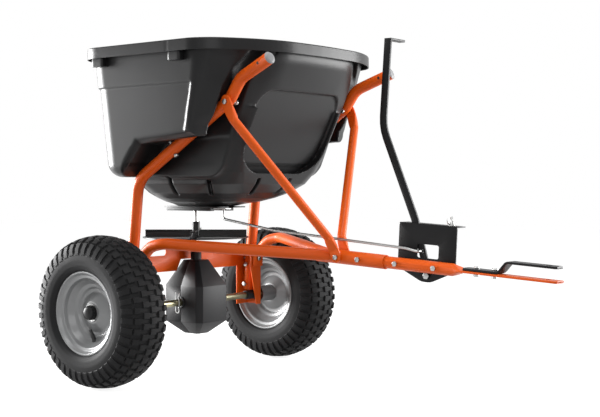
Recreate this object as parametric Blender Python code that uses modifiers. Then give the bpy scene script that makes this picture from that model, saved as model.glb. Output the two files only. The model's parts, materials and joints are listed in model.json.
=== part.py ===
"""Tow-behind broadcast spreader for a garden tractor, in metres, +Z up and +X towards the tractor.

Every piece is placed from the axle: X from the axle line, Y from the centre line, Z from the ground.
One empty then carries the whole machine, so that its origin is the middle of its footprint.
"""
import math

import bmesh
import bpy
from mathutils import Matrix, Vector

# Ground plan and wheels
TYRE_RADIUS = 0.165
TYRE_WIDTH = 0.127
TRACK_HALF = 0.2955
RIM_Z = 0.735
TREAD_LUGS = 17
LUG_HEIGHT = 0.005
RIM_RADIUS = 0.086
RIM_WIDTH = 0.100
RIM_SHEET = 0.004
HUB_RADIUS = 0.0195
AXLE_RADIUS = 0.008
AXLE_Z = TYRE_RADIUS
CAP_RADIUS = 0.0155
CAP_LENGTH = 0.015
AXLE_STUB = 0.008

# Clearances
SEAT_GAP = 0.0003
RUN_GAP = 0.0006
PART_GAP = 0.0008

# Tubular frame
TUBE_RADIUS = 0.0127
TUBE_WALL = 0.0018
TUBE_Y = TRACK_HALF - 0.0955
SUPPORT_PATH = ((-0.0125, 0.1785), (0.0163, 0.4488), (0.288, RIM_Z - 0.121), (0.316, RIM_Z - 0.0805),
                (0.390, RIM_Z - 0.042))
SUPPORT_BENDS = (0.060, 0.050, 0.060)
HITCH_TURN_X = 0.092
HITCH_MEET = (0.405, 0.0, 0.2868)
HITCH_BEND = 0.040
HITCH_TAB = (0.036, 0.005, 0.040)
BRACE_RADIUS = 0.0095
BRACE_TOP_X = 0.2905
BRACE_DROP = 0.0095
BRACE_EAR_WIDTH = 0.024
BRACE_EAR_THICK = 0.005

# Drawbar and hitch
DRAWBAR_SLOPE = math.radians(3.1)
DRAWBAR_Z0 = 0.3082
SOCKET_OUTER = 0.0150
SOCKET_FROM = 0.362
SOCKET_TO = 0.541
TONGUE_FROM = 0.440
TONGUE_ROUND_TO = 0.700
TONGUE_FLAT_FROM = 0.724
FRONT_REACH = 0.930
TONGUE_FLAT_WIDTH = 0.038
TONGUE_FLAT_THICK = 0.005
HITCH_PIN_X = FRONT_REACH - 0.025
HITCH_PIN_HOLE = 0.0065
STRAP_WIDTH = 0.032
STRAP_THICK = 0.005
STRAP_FROM = 0.728
STRAP_BEND_LOW = 0.806
STRAP_BEND_HIGH = 0.823
STRAP_TO = FRONT_REACH - 0.002
STRAP_GAP = 0.022

# Hangers and the plate between them
HANGER_REAR_X = -0.0280
HANGER_FRONT_X = 0.0150
HANGER_SHEET = 0.003
HANGER_WEB_Y = TUBE_Y + 0.0165
HANGER_FREE_Y = TUBE_Y - 0.025
HANGER_TOP = 0.272
HANGER_FOOT = 0.142
FLANGE_TOP = 0.2625
CROSS_SHEET = 0.003
CROSS_LOW = 0.237
CROSS_HIGH = 0.2745
SHELF_HALF = 0.075
SHELF_Z = 0.288
SHELF_FRONT = 0.020
BUSH_RADIUS = 0.011

# Gearbox and drive
CASE_TOP = 0.262
CASE_SHOULDER = 0.203
CASE_BELT = 0.120
CASE_BOTTOM = 0.090
CASE_HALF_X = 0.060
CASE_HALF_Y = 0.052
CASE_WALL = 0.004
COLLAR_RADIUS = 0.013
SHAFT_RADIUS = 0.0060
RING_TEETH = 24
PINION_TEETH = 9
GEAR_MODULE = 0.0027
GEAR_FACE = 0.010
IMPELLER_RADIUS = 0.125
IMPELLER_Z = 0.314
IMPELLER_SHEET = 0.003
BLADE_HEIGHT = 0.016
BLADES = 4
SLEEVE_RADIUS = 0.009
SLEEVE_TOP = 0.352

# Hopper
RIM_BAND = 0.024
RIM_OVERHANG = 0.015
HOPPER_HALF = 0.293
HOPPER_REAR = -0.090
HOPPER_FRONT = 0.375
REAR_CORNER = 0.073
FRONT_CORNER_X = 0.256
FRONT_CORNER_Y = 0.123
WALL = 0.004
LEDGE_Z = RIM_Z - 0.085
LEDGE_STEP = 0.003
DRAFT = 0.070
FRONT_KNEE_Z = RIM_Z - 0.035
FRONT_FOOT_X = 0.233825
POD_Z = 0.455
ARCH = ((-0.008, 0.420), (0.000, 0.462), (0.072, 0.543), (0.225, 0.556))
CHANNEL_INNER = TUBE_Y - 0.028
CHANNEL_OUTER = TUBE_Y + 0.025
POD_HALF = CHANNEL_OUTER + 0.0334
CHANNEL_CLEAR = 0.0006
FUNNEL_HALF = TUBE_Y - 0.034
PANEL_DEPTH = 0.006
PANEL_Z = 0.490
PORT_X = 0.055
SLOTS = 10
SLOT_DEPTH = 0.006

# Shut-off gate and its linkage
GATE_SHEET = 0.003
GATE_REAR = -0.052
ROD_RADIUS = 0.003
LEVER_WIDTH = 0.016
LEVER_THICK = 0.005
LEVER_Y = 0.0200
LEVER_PATH = ((0.630, 0.2545), (0.598, 0.368), (0.518, 0.558), (0.531, 0.7425))
LEVER_SWING = math.radians(32)
BRACKET_Y = 0.0150
BRACKET_THICK = 0.003
BRACKET_REAR = 0.5595
BRACKET_FRONT = 0.6965
BRACKET_TOP = 0.0850
BRACKET_LOW = -0.0330
BRACKET_FLANGE = 0.030
WINDOW = (0.606, 0.657, 0.0155, 0.0435)
STOP_X = 0.6790
STOP_HEAD = 0.009

FRONT_SLOPE = (HOPPER_FRONT - RIM_OVERHANG - FRONT_FOOT_X) / (FRONT_KNEE_Z - POD_Z)
SEGMENTS = 2 * TREAD_LUGS
LUG_TAPER = 0.93
LUG_CORNER = LUG_TAPER * math.tan(math.pi / SEGMENTS)
TYRE_REACH = TYRE_RADIUS * math.cos(math.pi / SEGMENTS) * (1 + LUG_CORNER * math.tan(math.pi / SEGMENTS))
TONGUE_REACH = FRONT_REACH + TONGUE_FLAT_THICK / 2 * math.sin(DRAWBAR_SLOPE)
MACHINE_X = (TYRE_REACH - TONGUE_REACH) / 2

COLOURS = {
    "orange_paint": ((0.74, 0.075, 0.008), 0.35, 0.0),
    "black_paint": ((0.018, 0.018, 0.019), 0.40, 0.0),
    "black_plastic": ((0.026, 0.026, 0.028), 0.42, 0.0),
    "gear_plastic": ((0.060, 0.060, 0.065), 0.50, 0.0),
    "grey_plastic": ((0.220, 0.220, 0.225), 0.50, 0.0),
    "rim_paint": ((0.230, 0.235, 0.240), 0.38, 0.3),
    "tyre_rubber": ((0.028, 0.028, 0.029), 0.80, 0.0),
    "valve_rubber": ((0.015, 0.015, 0.015), 0.60, 0.0),
    "bright_zinc": ((0.620, 0.620, 0.600), 0.30, 1.0),
    "yellow_zinc": ((0.560, 0.500, 0.330), 0.35, 1.0),
    "sintered_steel": ((0.300, 0.300, 0.310), 0.45, 1.0),
}


for old in list(bpy.data.objects):
    bpy.data.objects.remove(old)

machine = bpy.data.collections.new("broadcast_spreader")
cutters = bpy.data.collections.new("cutters")
bpy.context.scene.collection.children.link(machine)
bpy.context.scene.collection.children.link(cutters)
cutters.hide_render = True

chassis = bpy.data.objects.new("chassis", None)
chassis.location = (MACHINE_X, 0.0, 0.0)
machine.objects.link(chassis)


def material(slot):
    """The Principled material of one finish, made once."""
    found = bpy.data.materials.get(slot)
    if found:
        return found
    colour, rough, metal = COLOURS[slot]
    made = bpy.data.materials.new(slot)
    made.use_nodes = True
    shader = made.node_tree.nodes["Principled BSDF"]
    shader.inputs["Base Color"].default_value = (*colour, 1.0)
    shader.inputs["Roughness"].default_value = rough
    shader.inputs["Metallic"].default_value = metal
    made.diffuse_color = (*colour, 1.0)
    return made


def pivot(name, place):
    """An empty on a joint's axis, for the pieces that move about it."""
    made = bpy.data.objects.new(name, None)
    made.location = place
    made.parent = chassis
    machine.objects.link(made)
    return made


def node(name, mesh, slot, parent=None):
    """A named piece whose mesh is drawn from the axle; a parent on a joint takes its own place off."""
    made = bpy.data.objects.new(name, mesh)
    machine.objects.link(made)
    made.parent = parent or chassis
    if parent:
        made.location = -parent.location
    mesh.materials.clear()
    mesh.materials.append(material(slot))
    mesh.shade_smooth()
    mesh.set_sharp_from_angle(angle=math.radians(32))
    return made


def cutter(name, mesh):
    made = bpy.data.objects.new(name, mesh)
    cutters.objects.link(made)
    made.display_type = "WIRE"
    made.hide_render = True
    return made


def mesh_of(bm, name):
    bmesh.ops.recalc_face_normals(bm, faces=bm.faces)
    mesh = bpy.data.meshes.new(name)
    bm.to_mesh(mesh)
    bm.free()
    return mesh


def evaluated_mesh(obj):
    """The mesh of an object with its modifiers, or of a curve, in its own place; the object goes."""
    bpy.context.view_layer.update()
    graph = bpy.context.evaluated_depsgraph_get()
    mesh = bpy.data.meshes.new_from_object(obj.evaluated_get(graph))
    mesh.transform(obj.matrix_world)
    bpy.data.objects.remove(obj)
    bm = bmesh.new()
    bm.from_mesh(mesh)
    bmesh.ops.remove_doubles(bm, verts=bm.verts, dist=0.00002)
    bmesh.ops.recalc_face_normals(bm, faces=bm.faces)
    bm.to_mesh(mesh)
    bm.free()
    return mesh


def combine(mesh, others, operation):
    """Cuts others from mesh, or joins them to it, with one exact Boolean each, and returns the new mesh."""
    body = bpy.data.objects.new("work", mesh)
    cutters.objects.link(body)
    for count, other in enumerate(others):
        tool = cutter(f"tool_{count}", other)
        boolean = body.modifiers.new(f"step_{count}", "BOOLEAN")
        boolean.operation = operation
        boolean.solver = "EXACT"
        boolean.object = tool
    made = evaluated_mesh(body)
    for tool in list(cutters.objects):
        bpy.data.objects.remove(tool)
    return made


def cut(mesh, *others):
    return combine(mesh, others, "DIFFERENCE")


def join(mesh, *others):
    return combine(mesh, others, "UNION")


def moved(mesh, matrix):
    """A copy of a mesh, turned or shifted; a mirror image keeps its faces outwards."""
    made = mesh.copy()
    made.transform(matrix)
    if matrix.determinant() < 0:
        made.flip_normals()
    return made


MIRROR_Y = Matrix.Diagonal((1, -1, 1, 1))
TO_XZ = Matrix.Rotation(math.pi / 2, 4, "X")
TO_YZ = Matrix(((0, 0, 1, 0), (1, 0, 0, 0), (0, 1, 0, 0), (0, 0, 0, 1)))


def frame_along(start, direction):
    """A matrix that stands local +Z along a direction, from a starting point."""
    turn = Vector(direction).to_track_quat("Z", "Y").to_matrix().to_4x4()
    return Matrix.Translation(Vector(start)) @ turn


def block(low, high, bevel=0.0):
    """A box between two corners, with its edges rounded off."""
    low, high = Vector(low), Vector(high)
    bm = bmesh.new()
    bmesh.ops.create_cube(bm, size=1.0)
    bmesh.ops.scale(bm, vec=high - low, verts=bm.verts)
    bmesh.ops.translate(bm, vec=(high + low) / 2, verts=bm.verts)
    if bevel:
        bmesh.ops.bevel(bm, geom=bm.edges, offset=bevel, segments=1, affect="EDGES")
    return mesh_of(bm, "block")


def rod(start, end, radius, sides=12):
    """A round bar between two points."""
    start, end = Vector(start), Vector(end)
    bm = bmesh.new()
    middle = frame_along((start + end) / 2, end - start)
    bmesh.ops.create_cone(bm, cap_ends=True, segments=sides, radius1=radius, radius2=radius,
                          depth=(end - start).length, matrix=middle)
    return mesh_of(bm, "rod")


def bore(start, end, radius, sides=12):
    """The cutter of a round hole, its flats clear of the radius."""
    return rod(start, end, radius / math.cos(math.pi / sides), sides)


def turned(profile, place, steps=32, ring=False):
    """A turned solid from (radius, height) pairs that run down its outer side; a ring closes on itself."""
    mesh = bpy.data.meshes.new("turned")
    count = len(profile)
    edges = [(i, i + 1) for i in range(count - 1)]
    if ring:
        edges.append((count - 1, 0))
    mesh.from_pydata([(r, 0.0, h) for r, h in profile], edges, [])
    obj = bpy.data.objects.new("turned", mesh)
    cutters.objects.link(obj)
    screw = obj.modifiers.new("turn", "SCREW")
    screw.steps = screw.render_steps = steps
    screw.use_merge_vertices = True
    screw.merge_threshold = 0.00001
    made = evaluated_mesh(obj)
    made.transform(place)
    return made


def fillet_path(corners, radii, step=math.radians(9)):
    """The corners of a path with each inner one turned into an arc of its own radius."""
    corners = [Vector(c) for c in corners]
    path = [corners[0]]
    for before, at, after, radius in zip(corners, corners[1:], corners[2:], radii):
        back, on = (before - at).normalized(), (after - at).normalized()
        turn = math.pi - back.angle(on)
        reach = radius * math.tan(turn / 2)
        start = at + back * reach
        normal = ((back + on).normalized() * (radius / math.cos(turn / 2)))
        centre = at + normal
        spoke = start - centre
        axis = spoke.cross(at + on * reach - centre)
        count = max(2, round(turn / step))
        path += [centre + Matrix.Rotation(turn * i / count, 3, axis) @ spoke for i in range(count + 1)]
    return path + [corners[-1]]


def tube(path, radius, bevel_resolution=4):
    """A round bar bent along a path, as a curve with a bevel depth and filled caps."""
    curve = bpy.data.curves.new("tube", "CURVE")
    curve.dimensions = "3D"
    curve.bevel_depth = radius
    curve.bevel_resolution = bevel_resolution
    curve.use_fill_caps = True
    spline = curve.splines.new("POLY")
    spline.points.add(len(path) - 1)
    for point, place in zip(spline.points, path):
        point.co = (*place, 1.0)
    obj = bpy.data.objects.new("tube", curve)
    cutters.objects.link(obj)
    return evaluated_mesh(obj)


def plate(outline, thickness, place=Matrix(), holes=()):
    """A flat sheet from an outline and its holes, half its thickness to each side of its own plane."""
    curve = bpy.data.curves.new("plate", "CURVE")
    curve.dimensions = "2D"
    curve.fill_mode = "BOTH"
    curve.extrude = thickness / 2
    for loop in (outline, *holes):
        spline = curve.splines.new("POLY")
        spline.points.add(len(loop) - 1)
        for point, (u, v) in zip(spline.points, loop):
            point.co = (u, v, 0.0, 1.0)
        spline.use_cyclic_u = True
    obj = bpy.data.objects.new("plate", curve)
    cutters.objects.link(obj)
    made = evaluated_mesh(obj)
    made.transform(place)
    if place.determinant() < 0:
        made.flip_normals()
    return made


def round_loop(centre, radius, sides=12):
    return [(centre[0] + radius * math.cos(2 * math.pi * i / sides),
             centre[1] + radius * math.sin(2 * math.pi * i / sides)) for i in range(sides)]


def slot_loop(low, high, corner):
    """A rectangle between two corners with its own corners cut round."""
    (x0, y0), (x1, y1) = low, high
    turns = (((x1 - corner, y1 - corner), 0), ((x0 + corner, y1 - corner), 1),
             ((x0 + corner, y0 + corner), 2), ((x1 - corner, y0 + corner), 3))
    angles = [((cx, cy), (q + i / 3) * math.pi / 2) for (cx, cy), q in turns for i in range(4)]
    return [(cx + corner * math.cos(a), cy + corner * math.sin(a)) for (cx, cy), a in angles]


def soft_outline(corners, radius, steps=3):
    """A closed outline with its corners rounded to one radius, as flat pairs."""
    count = len(corners)
    loop = []
    for i, at in enumerate(corners):
        at = Vector(at)
        back = Vector(corners[i - 1]) - at
        on = Vector(corners[(i + 1) % count]) - at
        reach = min(radius, back.length * 0.45, on.length * 0.45)
        start, end = at + back.normalized() * reach, at + on.normalized() * reach
        for k in range(steps + 1):
            t = k / steps
            loop.append(tuple((1 - t) ** 2 * start + 2 * t * (1 - t) * at + t ** 2 * end))
    return loop


def loft(rings):
    """A closed solid skinned over rings of equal count, with a flat cap at each end."""
    bm = bmesh.new()
    rows = [[bm.verts.new(p) for p in ring] for ring in rings]
    count = len(rows[0])
    for low, high in zip(rows, rows[1:]):
        for i in range(count):
            j = (i + 1) % count
            bm.faces.new((low[i], low[j], high[j], high[i]))
    bm.faces.new(rows[0])
    bm.faces.new(rows[-1])
    return mesh_of(bm, "loft")


BOLT_RADIUS = 0.0031
BOLT_HEAD = 1.9
BOLT_HOLE = 1.25


def bolt(start, direction, grip, radius=BOLT_RADIUS, stub=0.0):
    """A hexagon bolt with its nut, one solid; start is where the head seats and grip is what it holds."""
    head, nut = radius * 1.3, radius * 1.7
    big = radius * BOLT_HEAD
    grip += SEAT_GAP
    rings = [(-head - SEAT_GAP, big), (-SEAT_GAP, big), (-SEAT_GAP, radius), (grip, radius), (grip, big),
             (grip + nut, big)]
    if stub:
        rings += [(grip + nut, radius), (grip + nut + stub, radius)]
    bm_rings = [[(r * math.cos(math.pi * i / 3), r * math.sin(math.pi * i / 3), z) for i in range(6)]
                for z, r in rings]
    made = loft(bm_rings)
    made.transform(frame_along(start, direction))
    return made


def drill(start, direction, length, radius=BOLT_RADIUS):
    """The cutter of a bolt's hole, which runs a little past what it goes through."""
    start, direction = Vector(start), Vector(direction).normalized()
    past = direction * 0.002
    return rod(start - past, start + direction * length + past, radius * BOLT_HOLE, 6)


def both_sides(name, mesh, slot, parents=(None, None)):
    """The right-hand piece as drawn, at -Y, and its mirror image on the left."""
    node(f"{name}_right", moved(mesh, Matrix()), slot, parents[0])
    node(f"{name}_left", moved(mesh, MIRROR_Y), slot, parents[1])


AXLE_LINE = Matrix.Translation((0, 0, AXLE_Z)) @ Matrix.Rotation(-math.pi / 2, 4, "X")
HUB_INNER = TRACK_HALF - 0.0735
HUB_OUTER = TRACK_HALF + 0.0285
HUB_BORE = AXLE_RADIUS + RUN_GAP
LIP_RADIUS = RIM_RADIUS + 0.004
BEAD_RADIUS = RIM_RADIUS - 0.0025


def wheel_place(side):
    """Local +Z runs outboard along the axle from the wheel's middle plane."""
    return Matrix.Translation((0, side * TRACK_HALF, AXLE_Z)) @ Matrix.Rotation(-side * math.pi / 2, 4, "X")


def rim_mesh():
    """A two-piece pressed rim on its hub tube, hollow between its discs; +Z is the outboard side."""
    half = RIM_WIDTH / 2
    inner, outer = HUB_INNER - TRACK_HALF, HUB_OUTER - TRACK_HALF
    dish = ((LIP_RADIUS, half), (LIP_RADIUS - 0.0035, half), (RIM_RADIUS - 0.006, half - 0.007),
            (RIM_RADIUS - 0.010, half - 0.018), (RIM_RADIUS - 0.019, half - 0.028), (0.044, half - 0.031),
            (HUB_RADIUS + 0.005, half - 0.019))
    tread = ((LIP_RADIUS, half - 0.0025), (BEAD_RADIUS, half - 0.008), (BEAD_RADIUS, half - 0.022),
             (BEAD_RADIUS - 0.011, half - 0.032))
    profile = list(tread) + [(r, -h) for r, h in reversed(tread)] + [(r, -h) for r, h in dish]
    profile += [(HUB_RADIUS, 0.017 - half), (HUB_RADIUS, inner), (HUB_BORE, inner), (HUB_BORE, outer)]
    profile += [(HUB_RADIUS, outer), (HUB_RADIUS, half - 0.017)] + list(reversed(dish))
    solid = turned(profile, Matrix(), 22, ring=True)
    side = half - 0.031 - RIM_SHEET
    hollow = turned([(BEAD_RADIUS - 0.011 - RIM_SHEET, side), (BEAD_RADIUS - 0.011 - RIM_SHEET, -side),
                     (HUB_RADIUS, -side), (HUB_RADIUS, side)], Matrix(), 13, ring=True)
    stem = rod((0, -VALVE_AT, side - 0.004), (0, -VALVE_AT, half), VALVE_RADIUS + RUN_GAP, 10)
    return cut(solid, hollow, stem)


VALVE_AT = 0.052
VALVE_RADIUS = 0.0045


def tyre_mesh():
    """A hollow tyre section turned about the hub, with staggered tread blocks raised from its crown."""
    crown = (TYRE_RADIUS - LUG_HEIGHT) / math.cos(math.pi / SEGMENTS)
    half = TYRE_WIDTH / 2
    bead = (BEAD_RADIUS + SEAT_GAP) / math.cos(math.pi / SEGMENTS)
    right = [(crown, 0.019), (crown - 0.005, 0.041), (crown - 0.019, half - 0.004), (crown - 0.038, half),
             (LIP_RADIUS + 0.005, RIM_WIDTH / 2), (bead, RIM_WIDTH / 2 - 0.011),
             (bead, RIM_WIDTH / 2 - 0.021), (crown - 0.038, half - 0.009), (crown - 0.012, 0.034)]
    profile = right + [(r, -h) for r, h in reversed(right)]
    mesh = turned(profile, Matrix(), SEGMENTS, ring=True)
    bm = bmesh.new()
    bm.from_mesh(mesh)
    blocks = []
    for face in bm.faces:
        middle = face.calc_center_median()
        reach = math.hypot(middle.x, middle.y)
        if reach < crown - 0.013:
            continue
        if face.normal.dot(Vector((middle.x, middle.y, 0)).normalized()) < 0.3:
            continue
        sector = round(math.atan2(middle.y, middle.x) * TREAD_LUGS / math.pi - 0.5)
        band = sum(abs(middle.z) > edge for edge in (0.018, 0.040))
        if (sector + band + (middle.z > 0)) % 2 == 0:
            blocks.append(face)
    for face in bmesh.ops.extrude_discrete_faces(bm, faces=blocks)["faces"]:
        middle = face.calc_center_median()
        outward = Vector((middle.x, middle.y, 0)).normalized()
        bmesh.ops.translate(bm, vec=outward * LUG_HEIGHT, verts=face.verts)
        bmesh.ops.scale(bm, vec=(LUG_TAPER, LUG_TAPER, LUG_TAPER), verts=face.verts,
                        space=Matrix.Translation(-face.calc_center_median()))
    return mesh_of(bm, "tyre")


def wheels(right_parent, left_parent):
    rim, tyre = rim_mesh(), tyre_mesh()
    stem = turned([(0, HUB_OUTER - TRACK_HALF + 0.004), (VALVE_RADIUS * 0.7, HUB_OUTER - TRACK_HALF + 0.004),
                   (VALVE_RADIUS, 0.024), (VALVE_RADIUS, VALVE_FOOT), (0, VALVE_FOOT)],
                  Matrix.Translation((0, -VALVE_AT, 0)), 10)
    end = HUB_OUTER - TRACK_HALF
    cap_bore = AXLE_RADIUS + RUN_GAP
    cap = turned([(0, end + CAP_LENGTH), (CAP_RADIUS - 0.002, end + CAP_LENGTH),
                  (CAP_RADIUS, end + CAP_LENGTH - 0.003), (CAP_RADIUS, end + SEAT_GAP),
                  (cap_bore, end + SEAT_GAP), (cap_bore, end + AXLE_STUB + SEAT_GAP),
                  (0, end + AXLE_STUB + SEAT_GAP)], Matrix(), 16)
    for label, side, parent in (("right", -1, right_parent), ("left", 1, left_parent)):
        place = wheel_place(side)
        node(f"wheel_rim_{label}", moved(rim, place), "rim_paint", parent)
        lug_down = Matrix.Rotation(math.pi if side < 0 else 0.0, 4, "Z")
        node(f"tyre_{label}", moved(tyre, place @ lug_down), "tyre_rubber", parent)
        node(f"valve_stem_{label}", moved(stem, place), "valve_rubber", parent)
        node(f"hub_cap_{label}", moved(cap, place), "black_plastic", parent)


VALVE_FOOT = 0.016


ROUND = 1.0
FLAT = 0.4


def sweep(path, sizes, across, sides=12):
    """A bar carried along a path; each size is (half width, half thickness, roundness) at its point."""
    path = [Vector(p) for p in path]
    rings = []
    for i, (at, (width, thick, round_)) in enumerate(zip(path, sizes)):
        on = (path[min(i + 1, len(path) - 1)] - path[max(i - 1, 0)]).normalized()
        out = (Vector(across) - on * Vector(across).dot(on)).normalized()
        up = on.cross(out)
        ring = []
        for k in range(sides):
            c, s = math.cos(2 * math.pi * (k + 0.5) / sides), math.sin(2 * math.pi * (k + 0.5) / sides)
            ring.append(at + out * width * math.copysign(abs(c) ** round_, c)
                        + up * thick * math.copysign(abs(s) ** round_, s))
        rings.append(ring)
    return loft(rings)


def drawbar_z(x):
    return DRAWBAR_Z0 - math.tan(DRAWBAR_SLOPE) * x


def on_drawbar(x, across=0.0, above=0.0):
    """A point set off from the drawbar's axis, square to its slope."""
    return Vector((x, across, drawbar_z(x))) + ABOVE_DRAWBAR * above


ALONG_DRAWBAR = Vector((math.cos(DRAWBAR_SLOPE), 0, -math.sin(DRAWBAR_SLOPE)))
ABOVE_DRAWBAR = Vector((math.sin(DRAWBAR_SLOPE), 0, math.cos(DRAWBAR_SLOPE)))
RIGHT_OUT = Vector((0, -1, 0))


def support_path():
    """The bent centre line of a support tube, as (x, z) points."""
    corners = [(x, 0.0, z) for x, z in SUPPORT_PATH]
    return [(p.x, p.z) for p in fillet_path(corners, SUPPORT_BENDS)]


def support_point(x):
    """The height and uphill direction of the support tube's straight slope at one x."""
    (x0, z0), (x1, z1) = SUPPORT_PATH[1], SUPPORT_PATH[2]
    slope = Vector((x1 - x0, 0, z1 - z0)).normalized()
    return Vector((x, 0, z0 + (x - x0) * (z1 - z0) / (x1 - x0))), slope


def brace_top(out):
    """Where the right brace's bolt passes under the support tube's axis, at one distance from the middle."""
    path = support_path()
    for (x0, z0), (x1, z1) in zip(path, path[1:]):
        if x0 <= BRACE_TOP_X <= x1:
            return Vector((BRACE_TOP_X, -out, z0 + (BRACE_TOP_X - x0) * (z1 - z0) / (x1 - x0) - BRACE_DROP))


def hopper_bolt_place():
    """Where the hopper's bolt crosses the right support tube, and its direction up through the hopper."""
    at, slope = support_point(HOPPER_BOLT_X)
    return at + Vector((0, -TUBE_Y, 0)), Vector((-slope.z, 0, slope.x))


HOPPER_BOLT_X = 0.125
LEG_BOLTS_Z = (0.192, 0.241)
TUBE_SIDES = 12
TUBE_FLAT = TUBE_RADIUS * math.cos(math.pi / TUBE_SIDES)
PLUG_DEPTH = 0.014
PLUG_HEAD = 0.003
EYE_BACK = 0.026
EYE_RADIUS = 0.003


def leg_x(z):
    (x0, z0), (x1, z1) = SUPPORT_PATH[0], SUPPORT_PATH[1]
    return x0 + (z - z0) * (x1 - x0) / (z1 - z0)


def support_tubes():
    path = [Vector((x, -TUBE_Y, z)) for x, z in support_path()]
    mesh = sweep(path, [(TUBE_RADIUS, TUBE_RADIUS, ROUND)] * len(path), RIGHT_OUT, TUBE_SIDES)
    end, direction = path[-1], (path[-1] - path[-2]).normalized()
    bore_radius = TUBE_FLAT - TUBE_WALL - 0.0002
    cuts = [bore(end - direction * (PLUG_DEPTH + 0.006), end + direction * 0.004, bore_radius)]
    for z in LEG_BOLTS_Z:
        cuts.append(drill((leg_x(z), -TUBE_Y - TUBE_RADIUS, z), (0, 1, 0), 2 * TUBE_RADIUS))
    at, up = hopper_bolt_place()
    cuts.append(drill(at - up * TUBE_RADIUS, up, 2 * TUBE_RADIUS))
    cuts.append(drill((leg_x(THROUGH_Z) - TUBE_RADIUS, -TUBE_Y, THROUGH_Z), (1, 0, 0), 2 * TUBE_RADIUS))
    brace = brace_top(TUBE_Y + TUBE_RADIUS)
    cuts.append(drill(brace, (0, 1, 0), 2 * TUBE_RADIUS))
    across = Vector((0, TUBE_RADIUS + 0.002, 0))
    eye = end - direction * EYE_BACK
    cuts.append(rod(eye - across, eye + across, EYE_RADIUS, 8))
    both_sides("support_tube", cut(mesh, *cuts), "orange_paint")
    plug = turned([(0, PLUG_HEAD), (TUBE_RADIUS - 0.002, PLUG_HEAD), (TUBE_RADIUS, SEAT_GAP + 0.001),
                   (TUBE_RADIUS, SEAT_GAP), (bore_radius - RUN_GAP, SEAT_GAP),
                   (bore_radius - RUN_GAP, -PLUG_DEPTH), (0, -PLUG_DEPTH)], frame_along(end, direction), 12)
    both_sides("tube_plug", plug, "grey_plastic")


def hanger_mesh():
    """A folded channel that opens inboard round the leg, with its front flange tapered to the foot."""
    half = HANGER_SHEET / 2
    rear, front = HANGER_REAR_X, HANGER_FRONT_X
    web, free = -HANGER_WEB_Y, -HANGER_FREE_Y
    fold = 0.003
    outline = [(rear - half, free), (rear - half, web - half + fold), (rear - half + fold, web - half),
               (front + half - fold, web - half), (front + half, web - half + fold), (front + half, free),
               (front - half, free), (front - half, web + half), (rear + half, web + half),
               (rear + half, free)]
    height = HANGER_TOP - HANGER_FOOT
    mesh = plate(outline, height, Matrix.Translation((0, 0, HANGER_FOOT + height / 2)))
    cut_from, cut_to = HANGER_TOP - 0.025, HANGER_FOOT - 0.004
    taper = plate([(free + 0.01, cut_from), (free, cut_from), (web + 0.016, cut_to), (free + 0.01, cut_to)],
                  0.012, Matrix.Translation((front, 0, 0)) @ TO_YZ)
    bearing = bore((0, web - 0.01, AXLE_Z), (0, web + 0.01, AXLE_Z), BUSH_RADIUS + SEAT_GAP)
    lowered = block((front - 0.006, web + half, FLANGE_TOP), (front + 0.006, free + 0.01, HANGER_TOP + 0.01))
    holes = [drill((leg_x(z), web - half, z), (0, 1, 0), HANGER_SHEET) for z in LEG_BOLTS_Z]
    holes.append(drill((rear - half, -TUBE_Y, THROUGH_Z), (1, 0, 0), front - rear + HANGER_SHEET))
    return cut(mesh, taper, bearing, lowered, *holes)


THROUGH_Z = 0.2560
RELIEF = (0.041, 0.027)
RELIEF_TOP = CASE_TOP + 0.0015


def cross_plate():
    """The plate between the hangers, with a shelf folded forward from its raised middle."""
    half = CROSS_SHEET / 2
    x = HANGER_REAR_X + HANGER_SHEET / 2 + SEAT_GAP + half
    end = HANGER_WEB_Y - HANGER_SHEET / 2 - SEAT_GAP
    outline = [(-end, CROSS_LOW), (-RELIEF[0], CROSS_LOW), (-RELIEF[1], RELIEF_TOP), (RELIEF[1], RELIEF_TOP),
               (RELIEF[0], CROSS_LOW), (end, CROSS_LOW), (end, CROSS_HIGH), (SHELF_HALF + 0.004, CROSS_HIGH),
               (SHELF_HALF, CROSS_HIGH + 0.004), (SHELF_HALF, SHELF_Z + half), (-SHELF_HALF, SHELF_Z + half),
               (-SHELF_HALF, CROSS_HIGH + 0.004), (-SHELF_HALF - 0.004, CROSS_HIGH), (-end, CROSS_HIGH)]
    upright = plate(outline, CROSS_SHEET, Matrix.Translation((x, 0, 0)) @ TO_YZ)
    front = SHELF_FRONT
    corners = [(x - half + 0.001, -SHELF_HALF + 0.001), (front - 0.012, -SHELF_HALF + 0.001), (front, -0.045),
               (front, 0.045), (front - 0.012, SHELF_HALF - 0.001), (x - half + 0.001, SHELF_HALF - 0.001)]
    shelf = plate(corners, CROSS_SHEET - 0.0004, Matrix.Translation((0, 0, SHELF_Z)))
    seat = bore((0, 0, SHELF_Z - 0.01), (0, 0, SHELF_Z + 0.01), BEARING_RADIUS + SEAT_GAP)
    holes = [drill((x - half, side * TUBE_Y, THROUGH_Z), (1, 0, 0), CROSS_SHEET) for side in (-1, 1)]
    node("cross_plate", cut(join(upright, shelf), seat, *holes), "orange_paint")
    seat_z, low, lip = SHELF_Z + half + SEAT_GAP, SHELF_Z - half, 0.004
    top = SHELF_Z + half + lip
    bearing = turned([(BEARING_RADIUS + lip, top), (BEARING_RADIUS + lip, seat_z), (BEARING_RADIUS, seat_z),
                      (BEARING_RADIUS, low), (SHAFT_RADIUS + RUN_GAP, low), (SHAFT_RADIUS + RUN_GAP, top)],
                     Matrix(), 16, ring=True)
    node("shaft_bearing", bearing, "sintered_steel")


BEARING_RADIUS = 0.010


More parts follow.
